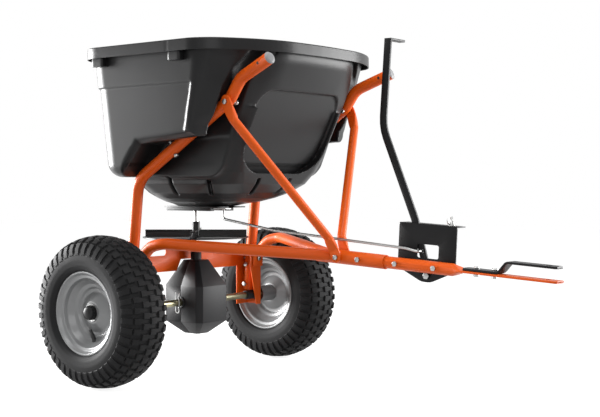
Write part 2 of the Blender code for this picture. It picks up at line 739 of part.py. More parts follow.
def hangers():
    both_sides("hanger", hanger_mesh(), "orange_paint")
    inner = HANGER_WEB_Y - HANGER_SHEET / 2
    flange = inner - SEAT_GAP
    lip = BUSH_RADIUS + 0.002
    bush = turned([(BUSH_RADIUS, HANGER_WEB_Y + 0.004), (BUSH_RADIUS, flange), (lip, flange),
                   (lip, flange - 0.003), (BUSH_RADIUS, flange - 0.003),
                   (BUSH_RADIUS, HANGER_FREE_Y), (AXLE_RADIUS + RUN_GAP, HANGER_FREE_Y),
                   (AXLE_RADIUS + RUN_GAP, HANGER_WEB_Y + 0.004)], AXLE_LINE, 12, ring=True)
    node("axle_bush_left", bush, "black_plastic")
    node("axle_bush_right", moved(bush, MIRROR_Y), "black_plastic")


def hitch_tube():
    """A tube flattened to a tab on the hanger, bent up and inwards to the socket and coped to its skin."""
    tab_x = HANGER_FRONT_X + HANGER_SHEET / 2 + SEAT_GAP + HITCH_TAB[1] / 2
    tab_top = TAB_LOW + HITCH_TAB[2] * 0.65
    start = [Vector((tab_x, -TUBE_Y, TAB_LOW)), Vector((tab_x, -TUBE_Y, tab_top))]
    neck = Vector((tab_x + 0.0035, -TUBE_Y, tab_top + 0.0075))
    rise = fillet_path([(tab_x + 0.0095, -TUBE_Y, tab_top + 0.0160), (0.054, -TUBE_Y, HITCH_TOP - 0.0075),
                        (HITCH_TURN_X, -TUBE_Y, HITCH_TOP), HITCH_MEET],
                       (0.040, HITCH_BEND), math.radians(14))
    path = start + [neck] + rise
    flat = (HITCH_TAB[0] / 2, HITCH_TAB[1] / 2, FLAT)
    sizes = [flat, flat, (0.0160, 0.0055, 0.6)] + [(TUBE_RADIUS, TUBE_RADIUS, ROUND)] * (len(path) - 3)
    mesh = sweep(path, sizes, RIGHT_OUT)
    cope = bore(on_drawbar(SOCKET_FROM - 0.01), on_drawbar(SOCKET_TO), SOCKET_OUTER + SEAT_GAP, 24)
    hole = drill((tab_x - HITCH_TAB[1] / 2, -TUBE_Y, THROUGH_Z), (1, 0, 0), HITCH_TAB[1])
    return cut(mesh, cope, hole)


TAB_LOW = 0.2365
HITCH_TOP = 0.3105
SLEEVE_BOLTS_X = (0.425, 0.478)
TONGUE_BOLTS_X = (0.570, 0.662)
STRAP_BOLTS_X = (0.753, 0.793)


def drawbar():
    """The socket sleeve, the tongue tube inside it, and the strap that makes the clevis."""
    sides = 16
    inner = (TUBE_RADIUS + SEAT_GAP) / math.cos(math.pi / sides)
    length = (SOCKET_TO - SOCKET_FROM) / math.cos(DRAWBAR_SLOPE)
    sleeve = turned([(SOCKET_OUTER, length), (SOCKET_OUTER, 0), (inner, 0), (inner, length)],
                    frame_along(on_drawbar(SOCKET_FROM), ALONG_DRAWBAR), sides, ring=True)
    across = [drill(on_drawbar(x, -SOCKET_OUTER), (0, 1, 0), 2 * SOCKET_OUTER) for x in SLEEVE_BOLTS_X]
    node("drawbar_socket", cut(sleeve, *across), "orange_paint")
    xs = (TONGUE_FROM, TONGUE_ROUND_TO, (TONGUE_ROUND_TO + TONGUE_FLAT_FROM) / 2, TONGUE_FLAT_FROM,
          FRONT_REACH - 0.004, FRONT_REACH)
    full, flat = (TUBE_RADIUS, TUBE_RADIUS, ROUND), (TONGUE_FLAT_WIDTH / 2, TONGUE_FLAT_THICK / 2, FLAT)
    sizes = (full, full, (0.0160, 0.0085, 0.75), flat, flat, (TONGUE_FLAT_WIDTH / 2 - 0.004, flat[1], FLAT))
    tongue = sweep([on_drawbar(x) for x in xs], sizes, (0, 1, 0), 16)
    cuts = [drill(on_drawbar(SLEEVE_BOLTS_X[1], -TUBE_RADIUS), (0, 1, 0), 2 * TUBE_RADIUS)]
    cuts += [drill(on_drawbar(x, -TUBE_RADIUS), (0, 1, 0), 2 * TUBE_RADIUS) for x in TONGUE_BOLTS_X]
    cuts += [drill(on_drawbar(x, 0, -TONGUE_FLAT_THICK), ABOVE_DRAWBAR, 2 * TONGUE_FLAT_THICK)
             for x in STRAP_BOLTS_X]
    cuts.append(rod(on_drawbar(HITCH_PIN_X, 0, -0.01), on_drawbar(HITCH_PIN_X, 0, 0.01), HITCH_PIN_HOLE))
    mouth = block((-0.011, -TONGUE_FLAT_WIDTH * 0.38, -0.0007), (0.006, TONGUE_FLAT_WIDTH * 0.38, 0.0007))
    tip = Matrix.Translation(on_drawbar(FRONT_REACH)) @ Matrix.Rotation(DRAWBAR_SLOPE, 4, "Y")
    cuts.append(moved(mouth, tip))
    node("tongue", cut(tongue, *cuts), "orange_paint")
    seat = TONGUE_FLAT_THICK / 2 + SEAT_GAP + STRAP_THICK / 2
    lift = TONGUE_FLAT_THICK / 2 + STRAP_GAP + STRAP_THICK / 2
    path = fillet_path([on_drawbar(STRAP_FROM, 0, seat), on_drawbar(STRAP_BEND_LOW, 0, seat),
                        on_drawbar(STRAP_BEND_HIGH, 0, lift), on_drawbar(STRAP_TO, 0, lift)],
                       (0.009, 0.009), math.radians(20))
    path.insert(1, on_drawbar(STRAP_FROM + 0.003, 0, seat))
    path.insert(-1, on_drawbar(STRAP_TO - 0.004, 0, lift))
    wide = (STRAP_WIDTH / 2, STRAP_THICK / 2, 0.25)
    ends = (STRAP_WIDTH / 2 - 0.004, STRAP_THICK / 2, 0.25)
    strap = sweep(path, [ends] + [wide] * (len(path) - 2) + [ends], (0, 1, 0), 12)
    cuts = [drill(on_drawbar(x, 0, seat - STRAP_THICK / 2), ABOVE_DRAWBAR, STRAP_THICK)
            for x in STRAP_BOLTS_X]
    pin = on_drawbar(HITCH_PIN_X, 0, lift)
    cuts.append(rod(pin - ABOVE_DRAWBAR * 0.01, pin + ABOVE_DRAWBAR * 0.01, HITCH_PIN_HOLE))
    node("hitch_strap", cut(strap, *cuts), "black_paint")


def brace_mesh():
    """A strut whose flattened ears lie flat on the support tube and on the socket."""
    top_y = -(TUBE_Y + TUBE_RADIUS + SEAT_GAP + BRACE_EAR_THICK / 2)
    foot_y = -(SOCKET_OUTER + SEAT_GAP + BRACE_EAR_THICK / 2)
    top = brace_top(-top_y)
    foot = on_drawbar(SLEEVE_BOLTS_X[0], foot_y)
    down = Vector((foot.x - top.x, 0, foot.z - top.z)).normalized()
    across = Vector((down.z, 0, -down.x))
    ear = BRACE_EAR_WIDTH / 2
    path = [top - down * ear, top - down * ear * 0.6, top + down * ear, top + down * (ear + 0.020),
            foot - down * (ear + 0.020), foot - down * ear, foot + down * ear * 0.6, foot + down * ear]
    path[3] = path[3] + (path[4] - path[3]) * 0.03
    path[4] = path[4] + (path[3] - path[4]) * 0.03
    flat, tip = (ear, BRACE_EAR_THICK / 2, FLAT), (ear * 0.55, BRACE_EAR_THICK / 2, FLAT)
    full = (BRACE_RADIUS, BRACE_RADIUS, ROUND)
    mesh = sweep(path, [tip, flat, flat, full, full, flat, flat, tip], across)
    face = Vector((0, BRACE_EAR_THICK / 2, 0))
    holes = [drill(at - face, (0, 1, 0), BRACE_EAR_THICK) for at in (top, foot)]
    return cut(mesh, *holes)


def frame_pieces():
    support_tubes()
    hangers()
    cross_plate()
    both_sides("hitch_tube", hitch_tube(), "orange_paint")
    drawbar()
    both_sides("brace", brace_mesh(), "orange_paint")


HAIRPIN_Y = 0.068
HAIRPIN_WIRE = 0.0013
RING_PITCH = RING_TEETH * GEAR_MODULE / 2
PINION_PITCH = PINION_TEETH * GEAR_MODULE / 2
SHAFT_FOOT = AXLE_Z + AXLE_RADIUS + 0.004
AGITATOR_Z = 0.428


def case_ring(z, half_x, half_y, chamfer):
    """One level of the gearbox case: a rectangle with its corners cut off."""
    points = ((half_x, half_y - chamfer), (half_x - chamfer, half_y), (chamfer - half_x, half_y),
              (-half_x, half_y - chamfer), (-half_x, chamfer - half_y), (chamfer - half_x, -half_y),
              (half_x - chamfer, -half_y), (half_x, chamfer - half_y))
    return [(x, y, z) for x, y in points]


def case_solid(inset):
    """The bulb of the gearbox; the cavity is the same form set in by the wall."""
    top, bottom = CASE_TOP - 1.6 * inset, CASE_BOTTOM + 1.2 * inset
    lean = 0.8 * inset
    return loft([case_ring(bottom, 0.024 - lean, 0.020 - lean, 0.006),
                 case_ring(CASE_BELT + 0.3 * inset, CASE_HALF_X - inset, CASE_HALF_Y - inset, 0.012),
                 case_ring(CASE_SHOULDER - 0.3 * inset, CASE_HALF_X - inset, CASE_HALF_Y - inset, 0.012),
                 case_ring(top, 0.025 - lean, 0.023 - lean, 0.007)])


def gearbox_case():
    """Two moulded halves that part on the axle's plane, with axle bosses and a collar for the shaft."""
    collar_top = SHELF_Z - CROSS_SHEET / 2 - SEAT_GAP
    collar = rod((0, 0, CASE_TOP - 0.010), (0, 0, collar_top), COLLAR_RADIUS, 12)
    boss_radius = AXLE_RADIUS + 0.006
    outer = [rod((0, side * (CASE_HALF_Y - 0.006), AXLE_Z), (0, side * (CASE_HALF_Y + 0.003), AXLE_Z),
                 boss_radius, 12) for side in (-1, 1)]
    deep = CASE_HALF_Y - CASE_WALL - 0.008
    inner = [rod((0, side * deep, AXLE_Z), (0, side * (CASE_HALF_Y + 0.001), AXLE_Z), boss_radius, 12)
             for side in (-1, 1)]
    throat = rod((0, 0, CASE_TOP - 0.018), (0, 0, CASE_TOP), COLLAR_RADIUS, 12)
    cavity = cut(case_solid(CASE_WALL), throat, *inner)
    axle = bore((0, -0.08, AXLE_Z), (0, 0.08, AXLE_Z), AXLE_RADIUS + RUN_GAP, 16)
    shaft = bore((0, 0, CASE_TOP - 0.022), (0, 0, collar_top + 0.01), SHAFT_RADIUS + RUN_GAP)
    shell = cut(join(case_solid(0.0), collar, *outer), cavity, axle, shaft)
    reach = CASE_HALF_X + 0.02
    for name, way in (("gearbox_case_front", 1), ("gearbox_case_rear", -1)):
        away = block((min(-way * reach, way * SEAT_GAP / 2), -0.1, 0.0),
                     (max(-way * reach, way * SEAT_GAP / 2), 0.1, 0.4))
        node(name, cut(shell.copy(), away), "gear_plastic")


def bevel_gear(teeth, pitch, axial, body, place):
    """A straight bevel gear about local +Z, its teeth on a cone whose tip is the local origin.

    pitch and axial are the large end's radius and distance from the tip, and body is how thick its back is.
    """
    slant = math.hypot(pitch, axial)
    small = 1 - GEAR_FACE / slant
    out, back = axial / slant, -pitch / slant
    rings = []
    levels = ((1.0, True), (small, True), (small, False))
    root, tip = -1.15 * GEAR_MODULE, 0.9 * GEAR_MODULE
    core = (pitch + root * out, axial + root * back)
    first = [(core[0] * 1.0, core[1] + body)] * (4 * teeth)
    (reach, level), angles = first[0], [tooth_angle(k, teeth) for k in range(4 * teeth)]
    rings.append([(reach * math.cos(a), reach * math.sin(a), level) for a in angles])
    for scale, _ in levels[:2]:
        ring = []
        for k in range(4 * teeth):
            height = tip if k % 4 in (1, 2) else root
            radius, z = (pitch + height * out) * scale, (axial + height * back) * scale
            angle = tooth_angle(k, teeth)
            ring.append((radius * math.cos(angle), radius * math.sin(angle), z))
        rings.append(ring)
    mesh = loft(rings)
    mesh.transform(place)
    return mesh


def tooth_angle(k, teeth):
    """The angle of one of the four points that draw each tooth: root, tip, tip, root."""
    tooth, corner = divmod(k, 4)
    return 2 * math.pi / teeth * (tooth + (-0.29, -0.09, 0.09, 0.29)[corner])


def drive_pieces(axle_joint, rotor_joint):
    """The axle with its gear and pins, and the upright shaft with all that turns on it."""
    end = HUB_OUTER + AXLE_STUB
    axle = rod((0, -end, AXLE_Z), (0, end, AXLE_Z), AXLE_RADIUS, 16)
    pin_hole = rod((0, -HAIRPIN_Y, AXLE_Z - 0.02), (0, -HAIRPIN_Y, AXLE_Z + 0.02), HAIRPIN_WIRE + SEAT_GAP, 8)
    node("axle", cut(axle, pin_hole), "yellow_zinc", axle_joint)
    ring_place = Matrix.Translation((0, 0, AXLE_Z)) @ Matrix.Rotation(math.pi / 2, 4, "X")
    ring_place = ring_place @ Matrix.Rotation(math.pi / 2, 4, "Z")
    ring = bevel_gear(RING_TEETH, RING_PITCH, PINION_PITCH, 0.007, ring_place)
    middle = bore((0, -0.05, AXLE_Z), (0, 0.0, AXLE_Z), AXLE_RADIUS + SEAT_GAP, 16)
    node("ring_gear", cut(ring, middle), "sintered_steel", axle_joint)
    wire = [Vector((0, 0, 0.190)), Vector((0, 0, 0.148))]
    wire += [Vector((0.0055 - 0.0055 * math.cos(a), 0, 0.148 - 0.0055 * math.sin(a)))
             for a in (math.pi * k / 6 for k in range(1, 7))]
    wire += [Vector((0.0088, 0, 0.1535)), Vector((0.0106, 0, 0.160)), Vector((0.0106, 0, 0.169)),
             Vector((0.0082, 0, 0.178)), Vector((0.0100, 0, 0.184)), Vector((0.0130, 0, 0.189))]
    wire = [p + Vector((0, -HAIRPIN_Y, AXLE_Z - 0.165)) for p in wire]
    node("hairpin", tube(wire, HAIRPIN_WIRE, 1), "bright_zinc", axle_joint)

    shaft = rod((0, 0, SHAFT_FOOT), (0, 0, AGITATOR_Z + 0.012), SHAFT_RADIUS, 12)
    cross = rod((-0.02, 0, AGITATOR_Z), (0.02, 0, AGITATOR_Z), AGITATOR_WIRE + SEAT_GAP, 8)
    node("spreader_shaft", cut(shaft, cross), "bright_zinc", rotor_joint)
    mesh_turn = -math.pi / 2 - math.pi / PINION_TEETH
    pinion_place = Matrix.Translation((0, 0, AXLE_Z)) @ Matrix.Rotation(mesh_turn, 4, "Z")
    pinion = bevel_gear(PINION_TEETH, PINION_PITCH, RING_PITCH, 0.008, pinion_place)
    node("pinion", cut(pinion, bore((0, 0, 0.15), (0, 0, 0.26), SHAFT_RADIUS + SEAT_GAP)),
         "sintered_steel", rotor_joint)
    node("impeller", impeller_mesh(), "black_plastic", rotor_joint)
    arm = AGITATOR_REACH
    tip_z = AGITATOR_Z + 0.014
    bent = fillet_path([(-arm, 0, tip_z), (-arm * 0.62, 0, AGITATOR_Z), (arm * 0.62, 0, AGITATOR_Z),
                        (arm, 0, tip_z)], (0.008, 0.008), math.radians(20))
    node("agitator", tube(bent, AGITATOR_WIRE, 1), "bright_zinc", rotor_joint)


AGITATOR_WIRE = 0.0025
AGITATOR_REACH = 0.042


def impeller_mesh():
    """A flat disc with upright blades and a sleeve that drives it from the shaft."""
    base, sheet = IMPELLER_Z, IMPELLER_SHEET
    inner = SHAFT_RADIUS + SEAT_GAP
    disc = turned([(inner * 0.9, SLEEVE_TOP), (SLEEVE_RADIUS, SLEEVE_TOP), (SLEEVE_RADIUS, base + sheet),
                   (IMPELLER_RADIUS - 0.003, base + sheet), (IMPELLER_RADIUS, base + sheet - 0.001),
                   (IMPELLER_RADIUS, base), (inner * 0.9, base)], Matrix(), 28, ring=True)
    blades = []
    for k in range(BLADES):
        blade = block((SLEEVE_RADIUS - 0.003, -sheet / 2, base + sheet / 2),
                      (IMPELLER_RADIUS - 0.006, sheet / 2, base + sheet + BLADE_HEIGHT))
        lip = block((0.045, -sheet / 2 + 0.0004, base + sheet + BLADE_HEIGHT - sheet + 0.0004),
                    (IMPELLER_RADIUS - 0.0064, 0.009, base + sheet + BLADE_HEIGHT - 0.0004))
        fin = join(blade, lip)
        fin.transform(Matrix.Rotation(BLADE_TURN + 2 * math.pi * k / BLADES, 4, "Z"))
        blades.append(fin)
    hole = bore((0, 0, base - 0.01), (0, 0, SLEEVE_TOP + 0.01), inner)
    return cut(join(disc, *blades), hole)


BLADE_TURN = math.radians(38)


def front_x(z, top_x):
    """Where the sloping front wall stands at one height; above the knee it is upright."""
    return top_x - max(0.0, FRONT_KNEE_Z - z) * FRONT_SLOPE


def tub_ring(z, inset, low=0.0):
    """One level of the tub: straight sides, round rear corners and a bowed front, set in by inset."""
    top_half = HOPPER_HALF - RIM_OVERHANG
    half = top_half - inset + (POD_HALF - top_half) * (RIM_Z - z) / (RIM_Z - POD_Z)
    rear = HOPPER_REAR + RIM_OVERHANG + inset + (RIM_Z - z) * DRAFT
    if z < LEDGE_Z:
        half, rear = half - LEDGE_STEP, rear + LEDGE_STEP
    front = front_x(z, HOPPER_FRONT - RIM_OVERHANG) - inset - low
    start = front - (HOPPER_FRONT - FRONT_CORNER_X)
    round_y = FRONT_CORNER_Y
    corner = REAR_CORNER - RIM_OVERHANG - inset * 0.5
    half, rear = half - low, rear + low
    points = []
    for k in range(CORNER_STEPS + 1):
        a = math.pi / 2 * k / CORNER_STEPS
        points.append((start + (front - start) * math.sin(a), -(round_y + (half - round_y) * math.cos(a))))
    bow = [(front + FRONT_BOW, 0.0)]
    right = points + bow + [(x, -y) for x, y in reversed(points)]
    for side in (1, -1):
        arc = []
        for k in range(CORNER_STEPS + 1):
            a = math.pi / 2 * k / CORNER_STEPS
            arc.append((rear + corner - corner * math.sin(a), side * (half - corner + corner * math.cos(a))))
        right += arc if side == 1 else list(reversed(arc))
    return [(x, y, z) for x, y in right]


CORNER_STEPS = 4
FRONT_BOW = 0.004


def tub_solid(inset):
    """The wide part of the hopper, from the rim down to the bottoms of its two rear pods."""
    top = RIM_Z + (0.01 if inset else -0.0005)
    levels = [(top, 0.0), (LEDGE_Z, 0.0), (LEDGE_Z - 0.004, 0.0),
              (POD_Z + 0.55 * (LEDGE_Z - 0.004 - POD_Z), 0.0), (POD_Z + 0.030, 0.004),
              (POD_Z + 0.012, 0.012), (POD_Z, 0.034)]
    if inset:
        levels = [(z if z > POD_Z + 0.035 else z + inset, low) for z, low in levels]
    return loft([tub_ring(z, inset, low) for z, low in levels])


def funnel_ring(level, inset):
    """One level of the funnel: a rectangle with round corners, given by its four walls and corner size."""
    z, rear, front, half, corner = level
    rear, front, half = rear + inset, front - inset, half - inset
    corner = min(max(corner - inset * 0.4, 0.004), half * 0.98, (front - rear) * 0.49)
    points = []
    for cx, cy, q in ((front - corner, half - corner, 0), (rear + corner, half - corner, 1),
                      (rear + corner, corner - half, 2), (front - corner, corner - half, 3)):
        for k in range(CORNER_STEPS + 1):
            a = math.pi / 2 * (q + k / CORNER_STEPS)
            points.append((cx + corner * math.cos(a), cy + corner * math.sin(a), z))
    return points


def wall_x(z, proud):
    """A point on the hopper's front wall at one height, moved a little forward of it."""
    return front_x(z, HOPPER_FRONT - RIM_OVERHANG) + proud


FUNNEL = ((0.600, -0.062, wall_x(0.600, 0.0050), FUNNEL_HALF, 0.040),
          (0.500, -0.060, wall_x(0.500, 0.0050), FUNNEL_HALF - 0.003, 0.050),
          (0.466, -0.058, wall_x(0.466, 0.0010), FUNNEL_HALF * 0.952, 0.062),
          (0.440, -0.054, 0.205, FUNNEL_HALF * 0.8735, 0.075),
          (0.420, -0.046, 0.168, FUNNEL_HALF * 0.723, 0.085),
          (0.409, -0.040, 0.142, FUNNEL_HALF * 0.5785, 0.080))
NECK = ((0.4065, -0.036, 0.128, FUNNEL_HALF * 0.482, 0.062),
        (0.389, -0.026, 0.096, FUNNEL_HALF * 0.3375, 0.040))


def funnel_solid(inset):
    """The funnel and its neck; the cavity stops one wall above the floor."""
    levels = list(FUNNEL) + list(NECK)
    rings = []
    for level in levels:
        z = level[0]
        if inset:
            z = z + inset * (1.0 if z < 0.45 else 0.4)
        rings.append(funnel_ring((z, *level[1:]), inset))
    return loft(rings)


def side_cutters(grow):
    """What the tubes and the side arches take out of the right side, grown by the wall for the cavity."""
    path = support_path()
    clear = TUBE_RADIUS + CHANNEL_CLEAR + grow
    ceiling = []
    for i, (x, z) in enumerate(path):
        (x0, z0), (x1, z1) = path[max(i - 1, 0)], path[min(i + 1, len(path) - 1)]
        on = Vector((x1 - x0, z1 - z0)).normalized()
        ceiling.append((x - on.y * clear, z + on.x * clear))
    (x0, z0), (x1, z1) = ceiling[-2], ceiling[-1]
    ceiling[0] = (ceiling[1][0] - 0.012, 0.380)
    ceiling.append((x1 + (x1 - x0) * 0.9, z1 + (z1 - z0) * 0.9))
    outline = ceiling + [(0.60, ceiling[-1][1]), (0.60, 0.380)]
    wide = CHANNEL_OUTER - CHANNEL_INNER + 2 * grow
    middle = -(CHANNEL_OUTER + CHANNEL_INNER) / 2
    channel = plate(outline, wide, Matrix.Translation((0, middle, 0)) @ TO_XZ)
    arch = [(x - grow, z + grow) for x, z in ARCH] + [(0.50, ARCH[-1][1] + grow), (0.50, 0.380), (0.0, 0.380)]
    inner, outer = FUNNEL_HALF + 0.004 - grow, HOPPER_HALF + 0.02
    side = plate(arch, outer - inner, Matrix.Translation((0, -(outer + inner) / 2, 0)) @ TO_XZ)
    return [channel, side, moved(channel, MIRROR_Y), moved(side, MIRROR_Y)]


def panel_cutter(grow):
    """The recessed panel on the sloping front wall."""
    slope = math.atan(FRONT_SLOPE)
    top = (FRONT_KNEE_Z - PANEL_Z) / math.cos(slope) * 0.7112
    right = [(FUNNEL_HALF - 0.078, -0.022), (FUNNEL_HALF - 0.032, 0.020), (FUNNEL_HALF - 0.030, 0.060),
             (FUNNEL_HALF - 0.046, top)]
    corners = [(-right[0][0], right[0][1])] + right + [(-u, v) for u, v in reversed(right[1:])]
    out = [(u * (1 + grow / 0.12), v + (grow if v > 0.1 else -grow)) for u, v in corners]
    x, z = wall_x(PANEL_Z, 0.0), PANEL_Z
    facing = Matrix.Translation((x, 0, z)) @ Matrix.Rotation(slope, 4, "Y") @ TO_YZ
    depth = PANEL_DEPTH + grow
    return plate(soft_outline(out, 0.020, 2), 0.05, facing @ Matrix.Translation((0, 0, 0.025 - depth)))


def slot_cutters(grow):
    """Narrow upright dents round the bottom of the funnel."""
    made = []
    centre = Vector((0.075, 0.0, 0.448))
    for k in range(SLOTS):
        angle = math.radians(18) + math.radians(324) * k / (SLOTS - 1) + math.pi
        away = Vector((math.cos(angle), math.sin(angle), 0))
        reach = slot_reach(away)
        depth = SLOT_DEPTH + grow
        half = 0.0035 + grow
        dent = block((-depth, -half, -0.018 - grow), (0.03, half, 0.020 + grow))
        turn = Matrix.Rotation(angle, 4, "Z") @ Matrix.Rotation(math.radians(34), 4, "Y")
        dent.transform(Matrix.Translation(centre + away * reach) @ turn)
        made.append(dent)
    return made


def slot_reach(away):
    """How far the funnel's wall stands from the slots' centre, level with them."""
    rear, front, half = 0.130, 0.142, 0.146
    along = front if away.x > 0 else rear
    power = 3.0
    return (abs(away.x / along) ** power + abs(away.y / half) ** power) ** (-1 / power)


def rim_solid():
    """The rolled band round the mouth, and the four lugs under it."""
    rings = []
    for z, out in ((RIM_Z - RIM_BAND, 0.0), (RIM_Z - 0.004, 0.001), (RIM_Z, -0.003)):
        ring = []
        for x, y, _ in tub_ring(RIM_Z, 0.0):
            grown = Vector((x - 0.10, y)).normalized() * (RIM_OVERHANG + out)
            ring.append((x + grown.x, y + grown.y, z))
        rings.append(ring)
    outer_y = HOPPER_HALF + 0.0012
    seam = block((SEAM_X - SEAM_HALF, -outer_y, RIM_Z - 0.05),
                 (SEAM_X + SEAM_HALF, SEAM_DEPTH + 0.0004 - outer_y, RIM_Z + 0.01))
    return cut(loft(rings), seam, moved(seam, MIRROR_Y))


LUG_SIZE = (0.034, 0.016, 0.018)
LUG_XS = (-0.0175, 0.213)
SEAM_X = 0.195
SEAM_HALF = 0.0009
SEAM_DEPTH = 0.0018
LUG_ROOT = HOPPER_HALF - 0.0188


def rim_lugs():
    """The lifting lugs under the band, rooted in the tub's walls."""
    long, deep, tall = LUG_SIZE
    top = RIM_Z - RIM_BAND + 0.001
    made = []
    for x in LUG_XS:
        lug = block((x - long / 2, -LUG_ROOT - deep, top - tall), (x + long / 2, -LUG_ROOT, top), 0.002)
        made += [lug, moved(lug, MIRROR_Y)]
    return made


def hopper_mesh():
    outer = join(tub_solid(0.0), funnel_solid(0.0), rim_solid(), *rim_lugs())
    outer = cut(outer, *side_cutters(0.0), panel_cutter(0.0), *slot_cutters(0.0))
    cavity = join(tub_solid(WALL), funnel_solid(WALL))
    cavity = cut(cavity, *side_cutters(WALL), panel_cutter(WALL), *slot_cutters(WALL))
    return cut(outer, cavity)


FLOOR_Z = NECK[-1][0]
FIXED_PLATE_Z = FLOOR_Z - SEAT_GAP - GATE_SHEET
GATE_Z = FIXED_PLATE_Z - PART_GAP - GATE_SHEET
PORT_HALF = (0.0125, 0.034)
GUIDE_WIDTH = 0.010
GATE_HALF = 0.030
GATE_FRONT = 0.108
ROD_HOOK_X = 0.088
PLATE_REAR, PLATE_FRONT, PLATE_HALF = -0.056, 0.112, 0.048


def lever_vector():
    """From the lever's pivot to the rod's hole, which lies on its lowest straight."""
    (x0, z0), (x1, z1) = LEVER_PATH[0], LEVER_PATH[1]
    return Vector((ROD_RISE * (x1 - x0) / (z1 - z0), 0, ROD_RISE))


ROD_RISE = 0.049
PIVOT = Vector((LEVER_PATH[0][0], 0, LEVER_PATH[0][1]))


def gate_travel():
    """How far the rod pulls the gate over the lever's whole swing."""
    arm = lever_vector()
    swung = Matrix.Rotation(LEVER_SWING, 3, "Y") @ arm
    return swung.x - arm.x


def shutoff(gate_joint):
    """The hopper's outlet: its port, the fixed plate under it, the guides and the sliding gate."""
    port = slot_loop((PORT_X - PORT_HALF[0], -PORT_HALF[1]), (PORT_X + PORT_HALF[0], PORT_HALF[1]), 0.008)
    travel = gate_travel()
    shaft_hole = round_loop((0, 0), SHAFT_RADIUS + 0.004)
    notch = ROD_HOOK_X - 0.008
    body = [(PLATE_REAR, -PLATE_HALF), (PLATE_FRONT, -PLATE_HALF), (PLATE_FRONT, -0.008), (notch, -0.008),
            (notch, 0.008), (PLATE_FRONT, 0.008), (PLATE_FRONT, PLATE_HALF), (PLATE_REAR, PLATE_HALF)]
    fixed_plate = plate(body, GATE_SHEET, Matrix.Translation((0, 0, FIXED_PLATE_Z + GATE_SHEET / 2)),
                        (port, shaft_hole))
    rails = []
    rail_in = GATE_HALF + RUN_GAP
    low = GATE_Z - PART_GAP - GATE_SHEET
    for side in (-1, 1):
        post = sorted((side * rail_in, side * (rail_in + GUIDE_WIDTH)))
        foot = sorted((side * (rail_in - 0.005), side * (rail_in + GUIDE_WIDTH)))
        upright = block((PLATE_REAR, post[0], low + 0.001),
                        (PLATE_FRONT - 0.03, post[1], FIXED_PLATE_Z + 0.001))
        ledge = block((PLATE_REAR, foot[0], low), (PLATE_FRONT - 0.03, foot[1], low + GATE_SHEET))
        rails += [upright, ledge]
    node("gate_plate", join(fixed_plate, *rails), "black_plastic")
    opening = slot_loop((PORT_X - PORT_HALF[0] - travel, -GATE_HALF + 0.005),
                        (PORT_X + PORT_HALF[0] - travel, GATE_HALF - 0.005), 0.008)
    reach = SHAFT_RADIUS + 0.002
    shaft_slot = slot_loop((-travel - reach, -reach), (reach, reach), reach * 0.9)
    hook = round_loop((ROD_HOOK_X, 0), ROD_RADIUS + 0.0016, 8)
    nose, shoulder = GATE_FRONT - 0.006, 0.080
    outline = soft_outline([(GATE_REAR, -GATE_HALF), (shoulder, -GATE_HALF), (nose, -0.012), (nose, 0.012),
                            (shoulder, GATE_HALF), (GATE_REAR, GATE_HALF)], 0.006, 2)
    gate = plate(outline, GATE_SHEET, Matrix.Translation((0, 0, GATE_Z + GATE_SHEET / 2)),
                 (opening, shaft_slot, hook))
    node("shutoff_gate", gate, "bright_zinc", gate_joint)


def strip_outline(points, half):
    """Both edges of a flat bar whose middle line runs through the points."""
    left, right = [], []
    for i, at in enumerate(points):
        at = Vector(at)
        back = (at - Vector(points[i - 1])).normalized() if i else None
        on = (Vector(points[i + 1]) - at).normalized() if i + 1 < len(points) else None
        back, on = back or on, on or back
        along = (back + on).normalized()
        reach = half / max(along.dot(back), 0.5)
        left.append((at.x - along.y * reach, at.y + along.x * reach))
        right.append((at.x + along.y * reach, at.y - along.x * reach))
    return left + right[::-1]


def lever_pieces(lever_joint, rod_joint):
    """The lever, its pivot and the rod, which keeps its own direction while the lever swings."""
    bent = fillet_path([(x, 0, z) for x, z in LEVER_PATH], (0.10, 0.10), math.radians(8))
    path = [(p.x, p.z) for p in bent]
    foot = (Vector(path[0]) - Vector(path[1])).normalized()
    path.insert(0, tuple(Vector(path[0]) + foot * LEVER_WIDTH * 0.55))
    here = Matrix.Translation((0, LEVER_Y, 0)) @ TO_XZ
    bar = plate(strip_outline(path, LEVER_WIDTH / 2), LEVER_THICK, here)
    top_x, top_z = path[-1]
    near = LEVER_Y - LEVER_THICK / 2
    grip = block((top_x - LEVER_WIDTH / 2 + 0.0003, near + 0.0005, top_z - LEVER_THICK + 0.0005),
                 (top_x + LEVER_WIDTH / 2 - 0.0003, near + GRIP_LENGTH, top_z + 0.0005), 0.001)
    hole = PIVOT + lever_vector()
    bores = [drill((PIVOT.x, near, PIVOT.z), (0, 1, 0), LEVER_THICK, PIVOT_RADIUS),
             rod((hole.x, near - 0.01, hole.z), (hole.x, near + 0.02, hole.z), ROD_RADIUS * 1.1 + RUN_GAP, 8)]
    node("lever", cut(join(bar, grip), *bores), "black_paint", lever_joint)
    bar_y = LEVER_Y + LEVER_THICK / 2 + 0.004
    hook_top = GATE_Z + GATE_SHEET + 0.0005
    path = fillet_path([(ROD_HOOK_X, 0, hook_top), (ROD_HOOK_X, 0, ROD_REAR_Z), (0.235, 0, 0.3375),
                        (hole.x - 0.030, 0, 0.3095), (hole.x, 0, hole.z), (hole.x, bar_y, hole.z)],
                       (0.006, 0.10, 0.03, 0.006), math.radians(24))
    node("flow_rod", tube(path, ROD_RADIUS, 2), "bright_zinc", rod_joint)


GRIP_LENGTH = 0.055
PIVOT_RADIUS = 0.004
ROD_REAR_Z = 0.3595


